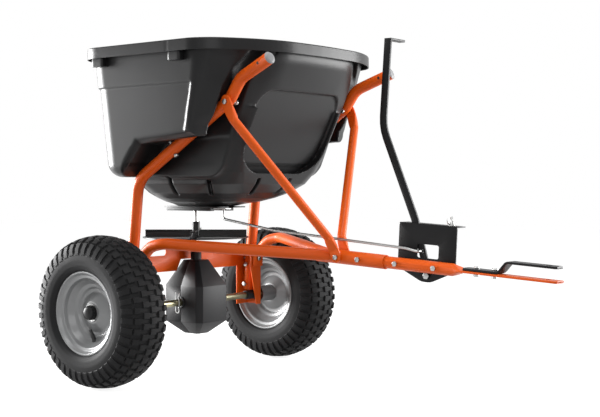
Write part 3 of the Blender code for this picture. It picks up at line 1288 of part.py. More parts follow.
def lever_bracket():
    """The plate on the tongue's far side, with a window for the rod and a slotted flange folded over."""
    here = Matrix.Translation(on_drawbar(0.0)) @ Matrix.Rotation(DRAWBAR_SLOPE, 4, "Y")
    slope = 1 / math.cos(DRAWBAR_SLOPE)
    rear, front = BRACKET_REAR * slope, BRACKET_FRONT * slope
    tip = PIVOT.x * slope
    outline = [(rear, BRACKET_TOP), (rear, -0.004), (rear + 0.010, -0.012), (tip - 0.012, BRACKET_LOW),
               (tip + 0.010, BRACKET_LOW), (front - 0.012, -0.012), (front, -0.004), (front, BRACKET_TOP)]
    u0, u1, v0, v1 = WINDOW
    upright = plate(soft_outline(outline, 0.006, 2), BRACKET_THICK,
                    here @ Matrix.Translation((0, BRACKET_Y, 0)) @ TO_XZ,
                    (slot_loop((u0, v0), (u1, v1), 0.004),))
    half = BRACKET_THICK / 2
    flange = block((rear + 0.0004, BRACKET_Y - half + 0.0004, BRACKET_TOP - BRACKET_THICK),
                   (front - 0.0004, BRACKET_Y + half + BRACKET_FLANGE, BRACKET_TOP - 0.0004))
    slot = block((LEVER_SLOT[0], LEVER_Y - 0.0042, BRACKET_TOP - 0.01),
                 (LEVER_SLOT[1], LEVER_Y + 0.0042, BRACKET_TOP + 0.01))
    for mesh in (flange, slot):
        mesh.transform(here)
    cuts = [slot] + [drill(on_drawbar(x, BRACKET_Y - half), (0, 1, 0), BRACKET_THICK) for x in TONGUE_BOLTS_X]
    cuts.append(drill((PIVOT.x, BRACKET_Y - half, PIVOT.z), (0, 1, 0), BRACKET_THICK, PIVOT_RADIUS))
    node("lever_bracket", cut(join(upright, flange), *cuts), "black_paint")
    grip = BRACKET_THICK + RUN_GAP + LEVER_THICK + 2 * PART_GAP
    node("lever_pivot_bolt", bolt((PIVOT.x, BRACKET_Y - half, PIVOT.z), (0, 1, 0), grip, PIVOT_RADIUS, 0.003),
         "bright_zinc")


LEVER_SLOT = (0.5855, 0.6865)


def stop_pieces(stop_joint):
    """The lever's adjustable stop: a bolt up through the slot, with a wing knob that clamps it."""
    base = on_drawbar(STOP_X, LEVER_Y, BRACKET_TOP)
    under = base - ABOVE_DRAWBAR * (BRACKET_THICK + RUN_GAP)
    shank = rod(under - ABOVE_DRAWBAR * 0.001, under + ABOVE_DRAWBAR * 0.022, STOP_RADIUS, 10)
    head = block((-STOP_HEAD / 2, BRACKET_Y + BRACKET_THICK / 2 + RUN_GAP - LEVER_Y, -0.0035),
                 (STOP_HEAD / 2, STOP_HEAD, 0.0))
    head.transform(Matrix.Translation(under) @ Matrix.Rotation(DRAWBAR_SLOPE, 4, "Y"))
    node("stop_bolt", join(shank, head), "bright_zinc", stop_joint)
    hub = turned([(0.0065, 0.010), (0.0075, SEAT_GAP), (STOP_RADIUS + SEAT_GAP, SEAT_GAP),
                  (STOP_RADIUS + SEAT_GAP, 0.010)], Matrix(), 12, ring=True)
    wings = [sweep([(side * 0.0060, 0, 0.005), (side * 0.011, 0, 0.009), (side * 0.0155, 0, 0.013)],
                   [(0.0016, 0.0045, 0.6), (0.0016, 0.0055, 0.6), (0.0013, 0.0035, 0.6)], (0, 1, 0), 8)
             for side in (-1, 1)]
    knob = join(hub, *wings)
    knob.transform(frame_along(base, ABOVE_DRAWBAR))
    node("stop_knob", knob, "bright_zinc", stop_joint)


STOP_RADIUS = 0.0030


def pair(name, mesh):
    both_sides(name, mesh, "bright_zinc")


def fasteners():
    """Bolts with their nuts, each its own piece."""
    web = HANGER_WEB_Y + HANGER_SHEET / 2
    grip = web - TUBE_Y + TUBE_FLAT + SEAT_GAP
    for label, z in zip(("lower", "upper"), LEG_BOLTS_Z):
        pair(f"leg_bolt_{label}", bolt((leg_x(z), -web, z), (0, 1, 0), grip))
    tab = HANGER_FRONT_X + HANGER_SHEET / 2 + HITCH_TAB[1] + 2 * SEAT_GAP
    through = bolt((tab, -TUBE_Y, THROUGH_Z), (-1, 0, 0), tab - HANGER_REAR_X + HANGER_SHEET / 2)
    pair("through_bolt", through)
    ear = TUBE_Y + TUBE_RADIUS + SEAT_GAP + BRACE_EAR_THICK
    brace = bolt(brace_top(ear), (0, 1, 0), ear - TUBE_Y + TUBE_FLAT + SEAT_GAP)
    pair("brace_bolt", brace)
    at, up = hopper_bolt_place()
    over = TUBE_RADIUS + CHANNEL_CLEAR + WALL
    pair("hopper_bolt", bolt(at + up * over, -up, over + TUBE_RADIUS))
    foot = SOCKET_OUTER + SEAT_GAP + BRACE_EAR_THICK
    bracket = BRACKET_Y + BRACKET_THICK / 2
    top = TONGUE_FLAT_THICK / 2 + SEAT_GAP + STRAP_THICK
    across, down = Vector((0, 1, 0)), -ABOVE_DRAWBAR
    through, clamped = TUBE_RADIUS + bracket, top + TONGUE_FLAT_THICK / 2
    single = (("brace_foot_bolt", on_drawbar(SLEEVE_BOLTS_X[0], -foot), across, 2 * foot),
              ("socket_bolt", on_drawbar(SLEEVE_BOLTS_X[1], -SOCKET_OUTER), across, 2 * SOCKET_OUTER),
              ("tongue_bolt_rear", on_drawbar(TONGUE_BOLTS_X[0], -TUBE_RADIUS), across, through),
              ("tongue_bolt_front", on_drawbar(TONGUE_BOLTS_X[1], -TUBE_RADIUS), across, through),
              ("strap_bolt_rear", on_drawbar(STRAP_BOLTS_X[0], 0, top), down, clamped),
              ("strap_bolt_front", on_drawbar(STRAP_BOLTS_X[1], 0, top), down, clamped))
    for name, start, direction, length in single:
        node(name, bolt(start, direction, length), "bright_zinc")


def hopper_node():
    """The moulded hopper, with its bolt holes, its outlet port and the shaft's hole in the neck floor."""
    at, up = hopper_bolt_place()
    hole = drill(at + up * TUBE_RADIUS, up, CHANNEL_CLEAR + WALL + 0.004)
    holes = [hole, moved(hole, MIRROR_Y)]
    port = slot_loop((PORT_X - PORT_HALF[0], -PORT_HALF[1]), (PORT_X + PORT_HALF[0], PORT_HALF[1]), 0.008)
    holes.append(plate(port, 0.03, Matrix.Translation((0, 0, FLOOR_Z))))
    holes.append(bore((0, 0, FLOOR_Z - 0.01), (0, 0, FLOOR_Z + 0.012), BOOT_RADIUS + SEAT_GAP))
    node("hopper", cut(hopper_mesh(), *holes), "black_plastic")
    top, seat, low = FLOOR_Z + WALL + 0.004, FLOOR_Z + WALL + SEAT_GAP, FLOOR_Z + 0.0005
    inner, lip = SHAFT_RADIUS + RUN_GAP, BOOT_RADIUS + 0.003
    profile = [(lip, top), (lip, seat), (BOOT_RADIUS, seat), (BOOT_RADIUS, low), (inner, low), (inner, top)]
    boot = turned(profile, Matrix(), 12, ring=True)
    node("hopper_bushing", boot, "grey_plastic")


BOOT_RADIUS = 0.010

axle_joint = pivot("axle_joint", (0, 0, AXLE_Z))
left_wheel_joint = pivot("left_wheel_joint", (0, TRACK_HALF, AXLE_Z))
rotor_joint = pivot("rotor_joint", (0, 0, IMPELLER_Z))
lever_joint = pivot("lever_joint", (PIVOT.x, LEVER_Y, PIVOT.z))
rod_joint = pivot("rod_joint", tuple(PIVOT + lever_vector()))
gate_joint = pivot("gate_joint", (PORT_X, 0, GATE_Z))
stop_joint = pivot("stop_joint", tuple(on_drawbar(STOP_X, LEVER_Y, BRACKET_TOP)))

frame_pieces()
wheels(axle_joint, left_wheel_joint)
gearbox_case()
drive_pieces(axle_joint, rotor_joint)
hopper_node()
shutoff(gate_joint)
lever_bracket()
lever_pieces(lever_joint, rod_joint)
stop_pieces(stop_joint)
fasteners()
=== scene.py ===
# %% [markdown]
# # A tow-behind broadcast spreader, dressed for its picture
# The construction model is already exact where it bolts, turns and slides. What it lacks is the look:
# the soft moulded hopper, the knobbly tyres, the powder coat on the tubes. This lesson loads the
# construction as a frame and adds those, one piece and one finish at a time.

# %% Load the frame
import json
import math

import bmesh
import bpy
import numpy as np
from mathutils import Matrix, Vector


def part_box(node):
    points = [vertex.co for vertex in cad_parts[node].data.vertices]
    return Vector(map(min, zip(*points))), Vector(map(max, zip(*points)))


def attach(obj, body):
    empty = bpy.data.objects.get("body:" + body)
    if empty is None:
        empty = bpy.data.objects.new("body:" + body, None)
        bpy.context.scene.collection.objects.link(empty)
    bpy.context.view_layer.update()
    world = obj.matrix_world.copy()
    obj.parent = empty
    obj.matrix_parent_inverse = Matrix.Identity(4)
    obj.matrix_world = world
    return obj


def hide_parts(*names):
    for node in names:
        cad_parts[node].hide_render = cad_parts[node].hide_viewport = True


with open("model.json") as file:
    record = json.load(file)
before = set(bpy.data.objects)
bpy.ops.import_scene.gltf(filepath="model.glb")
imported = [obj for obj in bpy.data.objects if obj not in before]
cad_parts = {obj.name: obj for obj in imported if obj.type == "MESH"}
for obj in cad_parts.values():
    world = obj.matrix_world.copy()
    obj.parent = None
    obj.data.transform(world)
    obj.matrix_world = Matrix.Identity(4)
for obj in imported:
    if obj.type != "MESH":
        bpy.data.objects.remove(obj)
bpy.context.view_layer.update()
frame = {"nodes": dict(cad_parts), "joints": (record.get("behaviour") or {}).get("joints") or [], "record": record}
JOINTS = {joint["name"]: joint for joint in frame["joints"]}
AXLE = np.array(JOINTS["axle_spin"]["pos_m"])
print("axle at", AXLE.round(4), "with", len(frame["nodes"]), "pieces")


def placed(points):
    """Points whose x is counted from the axle line, moved into the frame's own coordinates."""
    return np.asarray(points, float) + np.array([AXLE[0], 0, 0])


def at(x, y, z):
    """One such point, from its three numbers."""
    return placed((x, y, z))


# %% [markdown]
# ## The camera
# The photograph was measured first: the round wheels give the direction, and the tyre, taken as 330 mm
# across, gives the distance. The camera stands in front and to the right, at about knee height and nearly
# level, with a long lens, so the tubes keep almost parallel lines.

# %% Camera
LENS_PIXELS, PHOTO_WIDTH, SENSOR = 1156.96, 600, 36.0
camera_data = bpy.data.cameras.new("photo_camera")
camera_data.sensor_width = SENSOR
camera_data.lens = LENS_PIXELS / PHOTO_WIDTH * SENSOR
camera = bpy.data.objects.new("photo_camera", camera_data)
camera.location = at(1.8857, -1.9775, 0.4414)
camera.rotation_euler = (math.pi / 2 - math.radians(1.243), 0.0, math.radians(38.498))
bpy.context.scene.collection.objects.link(camera)
bpy.context.scene.camera = camera
print("lens", round(camera_data.lens, 2), "mm")

# %% [markdown]
# ## Floor, sky and lamps
# A catalogue picture stands on white paper. One sheet runs flat under the wheels and far behind them.
# Paper and sky shine fully only where the camera or a reflection sees them, so that they are white in the
# picture without lighting the machine too much. Four soft lamps give the shapes their shading. As the
# picture shows left and right, one stands behind on the left and lights the hopper's side, one hangs
# overhead, one stands behind on the right and grazes the front, and a weak one on the camera's side keeps
# the dark plastic readable.


# %% Studio
def lamp(name, place, aim, size, watts):
    """A square soft lamp at one point, turned to face another."""
    data = bpy.data.lights.new(name, "AREA")
    data.size, data.energy = size, watts
    made = bpy.data.objects.new(name, data)
    made.location = Vector(place)
    made.visible_camera = False
    made.rotation_euler = (Vector(aim) - Vector(place)).to_track_quat("-Z", "Y").to_euler()
    bpy.context.scene.collection.objects.link(made)


def set_inputs(node, **values):
    """Gives a shader node its numbers; an underscore stands for the space in an input's name."""
    for label, value in values.items():
        node.inputs[label.replace("_", " ")].default_value = value


def seen_rays(tree):
    """One number that is 1 for camera, mirror and glass rays, and 0 for the light that falls on things."""
    path = tree.nodes.new("ShaderNodeLightPath")
    total = path.outputs["Is Camera Ray"]
    for kind in ("Is Glossy Ray", "Is Transmission Ray"):
        larger = tree.nodes.new("ShaderNodeMath")
        larger.operation = "MAXIMUM"
        tree.links.new(total, larger.inputs[0])
        tree.links.new(path.outputs[kind], larger.inputs[1])
        total = larger.outputs[0]
    return total


world = bpy.data.worlds.new("white_studio")
bpy.context.scene.world = world
world.use_nodes = True
sky = world.node_tree
set_inputs(sky.nodes["Background"], Color=(1, 1, 1, 1))
level = sky.nodes.new("ShaderNodeMapRange")
set_inputs(level, To_Min=0.34, To_Max=1.0)
sky.links.new(seen_rays(sky), level.inputs["Value"])
sky.links.new(level.outputs["Result"], sky.nodes["Background"].inputs["Strength"])

MIDDLE = at(0.25, 0.0, 0.4)
lamp("left_rear_softbox", MIDDLE + (-2.05, -0.62, 0.15), MIDDLE, 1.0, 130.0)
lamp("overhead_softbox", MIDDLE + (0.3, -0.5, 2.2), MIDDLE, 2.0, 50.0)
lamp("front_right_softbox", MIDDLE + (1.35, 1.75, 0.25), MIDDLE, 1.3, 80.0)
lamp("camera_side_fill", MIDDLE + (1.6, -2.2, 0.8), MIDDLE, 1.5, 17.0)
bpy.context.scene.view_settings.view_transform = "Standard"

floor_mesh = bpy.data.meshes.new("paper_floor")
FLOOR_HALF, FLOOR_Z = 9.0, -0.0005
floor_corners = [(x * FLOOR_HALF, y * FLOOR_HALF, FLOOR_Z) for x, y in ((-1, -1), (1, -1), (1, 1), (-1, 1))]
floor_mesh.from_pydata(floor_corners, [], [(0, 1, 2, 3)])
floor = bpy.data.objects.new("paper_floor", floor_mesh)
bpy.context.scene.collection.objects.link(floor)
paper = bpy.data.materials.new("white_paper")
paper.use_nodes = True
paper_shader = paper.node_tree.nodes["Principled BSDF"]
set_inputs(paper_shader, Base_Color=(0.36, 0.36, 0.36, 1), Roughness=0.9, Specular_IOR_Level=0.1,
           Emission_Color=(1, 1, 1, 1))
glow = paper.node_tree.nodes.new("ShaderNodeMath")
glow.operation = "MULTIPLY"
glow.inputs[1].default_value = 0.84
paper.node_tree.links.new(seen_rays(paper.node_tree), glow.inputs[0])
paper.node_tree.links.new(glow.outputs[0], paper_shader.inputs["Emission Strength"])
floor_mesh.materials.append(paper)

# %% [markdown]
# ## Shader groups that every finish shares
# Nothing real has one flat colour. Two small groups carry what all these finishes have in common. The
# first, `tone_drift`, moves a colour slightly lighter and darker in soft clouds, and the roughness with it,
# as handling and dust do. The second, `fine_grain`, gives the tiny height changes of a coating or a
# moulding for a Bump node. Each material places them with its own numbers.


# %% Groups
def new_group(name, inputs, outputs):
    """An empty shader group with named sockets; inputs are (name, type, default) and outputs (name, type)."""
    tree = bpy.data.node_groups.new(name, "ShaderNodeTree")
    for label, kind, value in inputs:
        tree.interface.new_socket(label, in_out="INPUT", socket_type=kind).default_value = value
    for label, kind in outputs:
        tree.interface.new_socket(label, in_out="OUTPUT", socket_type=kind)
    return tree, tree.nodes.new("NodeGroupInput"), tree.nodes.new("NodeGroupOutput")


def math_node(tree, operation, first, second):
    """A Math node on two sockets or numbers, returning its output socket."""
    made = tree.nodes.new("ShaderNodeMath")
    made.operation = operation
    for slot, value in enumerate((first, second)):
        if isinstance(value, (int, float)):
            made.inputs[slot].default_value = value
        else:
            tree.links.new(value, made.inputs[slot])
    return made.outputs[0]


def noise_node(tree, scale, detail):
    """Noise in the piece's own coordinates; scale is a socket or a number, per metre."""
    coordinates = tree.nodes.new("ShaderNodeTexCoord")
    noise = tree.nodes.new("ShaderNodeTexNoise")
    noise.inputs["Detail"].default_value = detail
    tree.links.new(coordinates.outputs["Object"], noise.inputs["Vector"])
    if isinstance(scale, (int, float)):
        noise.inputs["Scale"].default_value = scale
    else:
        tree.links.new(scale, noise.inputs["Scale"])
    return noise.outputs["Fac"]


drift, taken, given = new_group(
    "tone_drift",
    [("Colour", "NodeSocketColor", (0.5, 0.5, 0.5, 1)), ("Amount", "NodeSocketFloat", 0.15),
     ("Scale", "NodeSocketFloat", 9.0), ("Rough", "NodeSocketFloat", 0.5),
     ("Rough Change", "NodeSocketFloat", 0.08)],
    [("Colour", "NodeSocketColor"), ("Roughness", "NodeSocketFloat")])
cloud = noise_node(drift, taken.outputs["Scale"], 5.0)
centred = math_node(drift, "SUBTRACT", cloud, 0.5)
brighter = math_node(drift, "MULTIPLY_ADD", centred, taken.outputs["Amount"])
brighter.node.inputs[2].default_value = 1.0
tint = drift.nodes.new("ShaderNodeVectorMath")
tint.operation = "SCALE"
drift.links.new(taken.outputs["Colour"], tint.inputs[0])
drift.links.new(brighter, tint.inputs["Scale"])
drift.links.new(tint.outputs[0], given.inputs["Colour"])
change = math_node(drift, "MULTIPLY", centred, taken.outputs["Rough Change"])
drift.links.new(math_node(drift, "ADD", change, taken.outputs["Rough"]), given.inputs["Roughness"])

grain, taken, given = new_group(
    "fine_grain",
    [("Scale", "NodeSocketFloat", 700.0), ("Waviness", "NodeSocketFloat", 0.4)],
    [("Height", "NodeSocketFloat")])
fine = noise_node(grain, taken.outputs["Scale"], 2.0)
broad = noise_node(grain, math_node(grain, "MULTIPLY", taken.outputs["Scale"], 0.12), 1.0)
grain.links.new(math_node(grain, "ADD", fine, math_node(grain, "MULTIPLY", broad, taken.outputs["Waviness"])),
                given.inputs["Height"])
print("groups:", [tree.name for tree in bpy.data.node_groups])

# %% [markdown]
# ## The finishes
# One function builds each material from those groups, so the finishes differ only in their numbers: colour,
# gloss, metal, how strongly the tone drifts and how deep the grain is. Powder coat has a soft gloss and a
# faint orange-peel skin. The moulded plastic has a finer grain and reflects less. Zinc is metal, and its
# yellow form drifts from straw to green.


# %% Materials
def finish(name, colour, rough, metal=0.0, drift_amount=0.12, drift_scale=9.0, rough_change=0.08,
           grain_scale=700.0, grain_depth=0.00004, coat=0.0, specular=0.5, second=None, second_scale=30.0):
    """A Principled material: drifting colour and roughness, with a fine grain as bump."""
    made = bpy.data.materials.new(name)
    made.use_nodes = True
    tree = made.node_tree
    shader = tree.nodes["Principled BSDF"]
    tone = tree.nodes.new("ShaderNodeGroup")
    tone.node_tree = drift
    set_inputs(tone, Colour=(*colour, 1), Amount=drift_amount, Scale=drift_scale, Rough=rough,
               Rough_Change=rough_change)
    if second:
        mix = tree.nodes.new("ShaderNodeMix")
        mix.data_type = "RGBA"
        mix.inputs[6].default_value, mix.inputs[7].default_value = (*colour, 1), (*second, 1)
        tree.links.new(noise_node(tree, second_scale, 3.0), mix.inputs[0])
        tree.links.new(mix.outputs[2], tone.inputs["Colour"])
    tree.links.new(tone.outputs["Colour"], shader.inputs["Base Color"])
    tree.links.new(tone.outputs["Roughness"], shader.inputs["Roughness"])
    skin = tree.nodes.new("ShaderNodeGroup")
    skin.node_tree = grain
    set_inputs(skin, Scale=grain_scale)
    bump = tree.nodes.new("ShaderNodeBump")
    set_inputs(bump, Distance=grain_depth)
    tree.links.new(skin.outputs["Height"], bump.inputs["Height"])
    tree.links.new(bump.outputs["Normal"], shader.inputs["Normal"])
    set_inputs(shader, Metallic=metal, Coat_Weight=coat, Specular_IOR_Level=specular)
    return made


FINISHES = {
    "orange_paint": finish("orange_powder_coat", (0.65, 0.088, 0.004), 0.42, drift_amount=0.10, coat=0.03,
                           specular=0.20, grain_scale=900, grain_depth=0.00005),
    "black_paint": finish("black_powder_coat", (0.0055, 0.0055, 0.006), 0.40, drift_amount=0.3, specular=0.16,
                          grain_scale=1100, grain_depth=0.00006),
    "black_plastic": finish("black_moulding", (0.0115, 0.0115, 0.0120), 0.34, drift_amount=0.25,
                            drift_scale=6, specular=0.17, grain_scale=1300, grain_depth=0.00003,
                            rough_change=0.10),
    "gear_plastic": finish("gearbox_moulding", (0.011, 0.011, 0.012), 0.44, drift_amount=0.25,
                           grain_scale=1200, specular=0.16),
    "grey_plastic": finish("grey_plug_plastic", (0.20, 0.20, 0.205), 0.50),
    "rim_paint": finish("grey_rim_paint", (0.185, 0.188, 0.190), 0.36, metal=0.15, coat=0.2,
                        drift_amount=0.14),
    "tyre_rubber": finish("tyre_rubber", (0.0135, 0.0135, 0.014), 0.62, drift_amount=0.5, drift_scale=22,
                          grain_scale=800, grain_depth=0.00009, rough_change=0.16, specular=0.10),
    "valve_rubber": finish("valve_rubber", (0.012, 0.012, 0.012), 0.55),
    "bright_zinc": finish("bright_zinc_plate", (0.36, 0.36, 0.355), 0.32, metal=1.0, drift_amount=0.2,
                          drift_scale=60, rough_change=0.2),
    "yellow_zinc": finish("yellow_zinc_plate", (0.42, 0.36, 0.22), 0.34, metal=1.0, drift_amount=0.2,
                          second=(0.36, 0.37, 0.25), second_scale=70),
    "sintered_steel": finish("sintered_steel", (0.17, 0.17, 0.175), 0.48, metal=1.0, grain_scale=2500,
                             grain_depth=0.0001),
}
SLOT_OF = {part["node"]: part["material_slot"] for part in frame["record"]["subparts"]}
for name, piece in frame["nodes"].items():
    piece.data.materials.clear()
    piece.data.materials.append(FINISHES[SLOT_OF[name]])
print(len(FINISHES), "finishes")

# %% [markdown]
# ## From arrays to meshes
# Most new pieces are surfaces: an array of points with one direction round the piece and one along it.
# `surface` turns such an array into faces. `body_of` says which moving body a construction node belongs
# to, so a piece that takes a node's place moves exactly as it did.

# %% Mesh helpers
BODY_OF = {name: body for body, names in frame["record"]["behaviour"]["bodies"].items() for name in names}


def new_piece(name, mesh, slot, replaced=(), body=None, angle=40.0):
    """Links a mesh as a piece with finish and smooth shading, rides it, and hides what it stands for."""
    mesh.materials.clear()
    mesh.materials.append(FINISHES[slot])
    mesh.shade_smooth()
    mesh.set_sharp_from_angle(angle=math.radians(angle))
    made = bpy.data.objects.new(name, mesh)
    bpy.context.scene.collection.objects.link(made)
    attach(made, body or BODY_OF[replaced[0]])
    if replaced:
        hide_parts(*replaced)
    return made


def grid_faces(rows, columns, close_rows):
    """Quads over a grid of points numbered row by row; each row closes on itself, the columns if asked."""
    i = np.arange(rows if close_rows else rows - 1)[:, None]
    j = np.arange(columns)[None, :]
    below, right = (i + 1) % rows, (j + 1) % columns
    return np.stack([i * columns + j, i * columns + right, below * columns + right, below * columns + j],
                    axis=-1).reshape(-1, 4)


def mesh_from(name, points, faces, outwards=True):
    """A mesh from arrays; its doubles are merged and, if asked, its faces are turned outwards."""
    made = bpy.data.meshes.new(name)
    made.from_pydata(points.reshape(-1, 3).tolist(), [], faces.tolist())
    bm = bmesh.new()
    bm.from_mesh(made)
    bmesh.ops.remove_doubles(bm, verts=bm.verts, dist=1e-6)
    if outwards:
        bmesh.ops.recalc_face_normals(bm, faces=bm.faces)
    bm.to_mesh(made)
    bm.free()
    return made


def surface(name, points, close_rows=False, caps=False):
    """A mesh over a grid of points (rows, columns, 3); caps draw both end rows in to their middles."""
    if caps:
        points = np.concatenate([points[:1].mean(1, keepdims=True).repeat(points.shape[1], 1), points,
                                 points[-1:].mean(1, keepdims=True).repeat(points.shape[1], 1)])
    rows, columns = points.shape[:2]
    return mesh_from(name, points, grid_faces(rows, columns, close_rows))


def turned(name, profile, centre, axis, steps=96, close=True):
    """A surface of revolution: (radius, height) pairs turned about an axis through a point."""
    profile = np.asarray(profile, float)
    turn = np.linspace(0, 2 * np.pi, steps, endpoint=False)
    local = np.stack([profile[:, None, 0] * np.cos(turn), profile[:, None, 0] * np.sin(turn),
                      np.broadcast_to(profile[:, None, 1], (len(profile), steps))], axis=-1)
    frame_of = np.array(Vector(axis).to_track_quat("Z", "Y").to_matrix())
    return surface(name, local @ frame_of.T + np.asarray(centre), close_rows=close)


def turned_piece(name, profile, centre, axis, slot, steps=64, close=True, **place):
    """A turned surface as a new piece; place says which nodes it replaces, or which body it rides."""
    return new_piece(name, turned(name, profile, centre, axis, steps, close), slot, **place)

# %% [markdown]
# ## The hopper as a field
# The hopper is one big moulding: a tub with drafted walls, two pods that hang down at its rear corners, a
# funnel between the wheel arches, and grooves that the frame tubes lie in. Where moulded walls meet they
# melt into one another, and a few flat faces don't show that. So the whole form is written as one number
# for every point of space: negative inside its outer surface, positive outside. A flat wall is a plane's
# distance, joining forms is a minimum, cutting is a maximum, and a *soft* minimum or maximum rounds the
# line where two of them meet.

# %% Field helpers
RIM_Z, LEDGE_Z, POD_Z, KNEE_Z, OUTLET_Z = 0.735, 0.650, 0.455, 0.700, 0.389
FRONT_X, FRONT_SLOPE, SIDE_Y, REAR_X, DRAFT = 0.360, 0.515, 0.278, -0.075, 0.07
TUBE_Y, TUBE_R = 0.200, 0.0127


def soft_max(a, b, k):
    """The larger of two fields, with their meeting line rounded over about the length k."""
    h = np.clip(0.5 + 0.5 * (a - b) / k, 0.0, 1.0)
    return a * h + b * (1 - h) + k * h * (1 - h)


def round_max(a, b, r):
    """The larger of two distances, with the outer corner turned to an arc of radius r."""
    return np.minimum(np.maximum(a + r, b + r), 0) + np.hypot(np.maximum(a + r, 0), np.maximum(b + r, 0)) - r


def smooth_step(t):
    """0 below 0, 1 above 1, and a soft s-curve between."""
    t = np.clip(t, 0.0, 1.0)
    return t * t * (3 - 2 * t)


def filleted(corners, radii, step=math.radians(6)):
    """A polyline whose inner corners are arcs: each arc's centre lies on the corner's bisector."""
    corners = [np.array(c, float) for c in corners]
    path = [corners[0]]
    for before, here, after, radius in zip(corners, corners[1:], corners[2:], radii):
        back, on = before - here, after - here
        back, on = back / np.linalg.norm(back), on / np.linalg.norm(on)
        turn = math.pi - math.acos(np.clip(back @ on, -1, 1))
        reach = radius * math.tan(turn / 2)
        start, end = here + back * reach, here + on * reach
        bisector = (back + on) / np.linalg.norm(back + on)
        centre = here + bisector * radius / math.cos(turn / 2)
        count = max(3, int(turn / step))
        for i in range(count + 1):
            t = i / count
            spoke = (start - centre) * math.sin((1 - t) * turn) + (end - centre) * math.sin(t * turn)
            path.append(centre + spoke / math.sin(turn))
    return np.array(path + [corners[-1]])


# The roof of the groove is the support tube's line, moved up by the tube's radius and a small gap.
TUBE_FOOT = [(-0.0125, 0.1785), (0.0163, 0.4488), (0.288, 0.614)]
SUPPORT = filleted([*TUBE_FOOT, (0.316, RIM_Z - 0.0805), (0.390, RIM_Z - 0.042)], (0.060, 0.050, 0.060))
along = np.gradient(SUPPORT, axis=0)
along /= np.linalg.norm(along, axis=1, keepdims=True)
CEILING = SUPPORT + np.stack([-along[:, 1], along[:, 0]], axis=1) * (TUBE_R + 0.0006)
CEILING = CEILING[CEILING[:, 0] < 0.296]
CEILING = CEILING[np.concatenate([[True], np.diff(CEILING[:, 0]) > 1e-5])]
CEILING = np.concatenate([CEILING, [(0.303, 0.668), (0.318, 0.708), (0.330, 0.760)]])
print("support tube:", len(SUPPORT), "points, ceiling over it", CEILING.shape)

# %% [markdown]
# The tub comes first. Its walls lean in a little towards the bottom so that the moulding leaves its
# mould. A step runs round its back and sides, 85 mm under the rim. The front corners are cut by three
# facets each, placed by the photograph's crease lines, and the rear corners are plain 58 mm rounds.


# %% Tub and funnel
REAR_ROUND = 0.058
# Where the second facet of a front corner ends: (z, x).
CORNER = np.array([(0.455, 0.190), (0.545, 0.240), (0.583, 0.270), (0.623, 0.288), (0.660, 0.302),
                   (0.700, 0.323), (0.735, 0.334)])


def facet(x, y, x0, y0, x1, y1):
    """The distance outside an upright wall that runs from one point of the plan to another."""
    return ((x - x0) * (y0 - y1) + (y - y0) * (x1 - x0)) / np.hypot(y0 - y1, x1 - x0)


def tub(x, y, z):
    """The tub: the largest of its walls' distances, each wall a plane that leans with the height z."""
    y, drop = np.abs(y), RIM_Z - z
    high = smooth_step((z - 0.620) / 0.090)
    ledge = 0.0032 * smooth_step((LEDGE_Z - z) / 0.0035)
    ledge = ledge * (1 - smooth_step((x - 0.243 - (z - 0.655) * 0.27) / 0.006))
    half, rear = SIDE_Y - DRAFT * drop, REAR_X + DRAFT * drop + ledge
    front = FRONT_X - 0.007 * high - FRONT_SLOPE * soft_max(KNEE_Z - z, np.zeros_like(z), 0.012)
    bow = 0.004 * (1 - np.clip(y / 0.15, 0, 1) ** 2) + 0.0135 * high * (1 - np.clip(y / 0.21, 0, 1) ** 2)
    left = 0.264 + (z - 0.720) * 0.19
    middle = np.maximum(0.255 + (z - 0.606) * 0.333, left + 0.010)
    right = np.maximum(np.interp(z, CORNER[:, 0], CORNER[:, 1]), middle + 0.010)
    shoulder, edge = np.minimum(0.261, half - 0.008), 0.225 - 0.022 * high
    walls = round_max(y - half + ledge, rear - x, REAR_ROUND)
    walls = soft_max(walls, facet(x, y, left, half, middle, shoulder), 0.005)
    walls = soft_max(walls, facet(x, y, middle, shoulder, right, edge), 0.005)
    nose = np.maximum(front + 0.010 * high, right + 0.005)
    ahead = soft_max((x - front - bow) * 0.89, facet(x, y, right, edge, nose, 0.1315) * 0.93, 0.012)
    walls = soft_max(walls, ahead, 0.006)
    return round_max(walls, POD_Z - z, 0.030)


LEVELS = np.array([  # height, rear, front, half width, corner radius
    (OUTLET_Z, -0.026, 0.096, 0.056, 0.040), (0.3945, -0.034, 0.122, 0.074, 0.055),
    (0.400, -0.042, 0.156, 0.102, 0.075), (0.408, -0.050, 0.184, 0.124, 0.085),
    (0.420, -0.056, 0.210, 0.143, 0.080), (0.440, -0.060, 0.234, 0.158, 0.062),
    (0.466, -0.062, 0.252, 0.163, 0.050), (0.500, -0.063, 0.269, 0.166, 0.040),
    (0.600, -0.063, 0.315, 0.168, 0.035)])


def funnel(x, y, z):
    """The funnel and neck: at each height a rectangle with round corners, its sizes read between levels."""
    rear, front, half, corner = (np.interp(z, LEVELS[:, 0], LEVELS[:, i]) for i in range(1, 5))
    flat = round_max(np.abs(x - (rear + front) / 2) - (front - rear) / 2, np.abs(y) - half, corner)
    return np.maximum(flat * 0.8, z - LEVELS[-1, 0])


# %% [markdown]
# Then come the cuts. The wheel arch takes the sides away below a bent line, so that the tyres and the tubes
# have room. A groove follows each support tube from below. The sloping front carries a shallow panel, and
# ten long narrow slots stand round the bottom of the funnel.


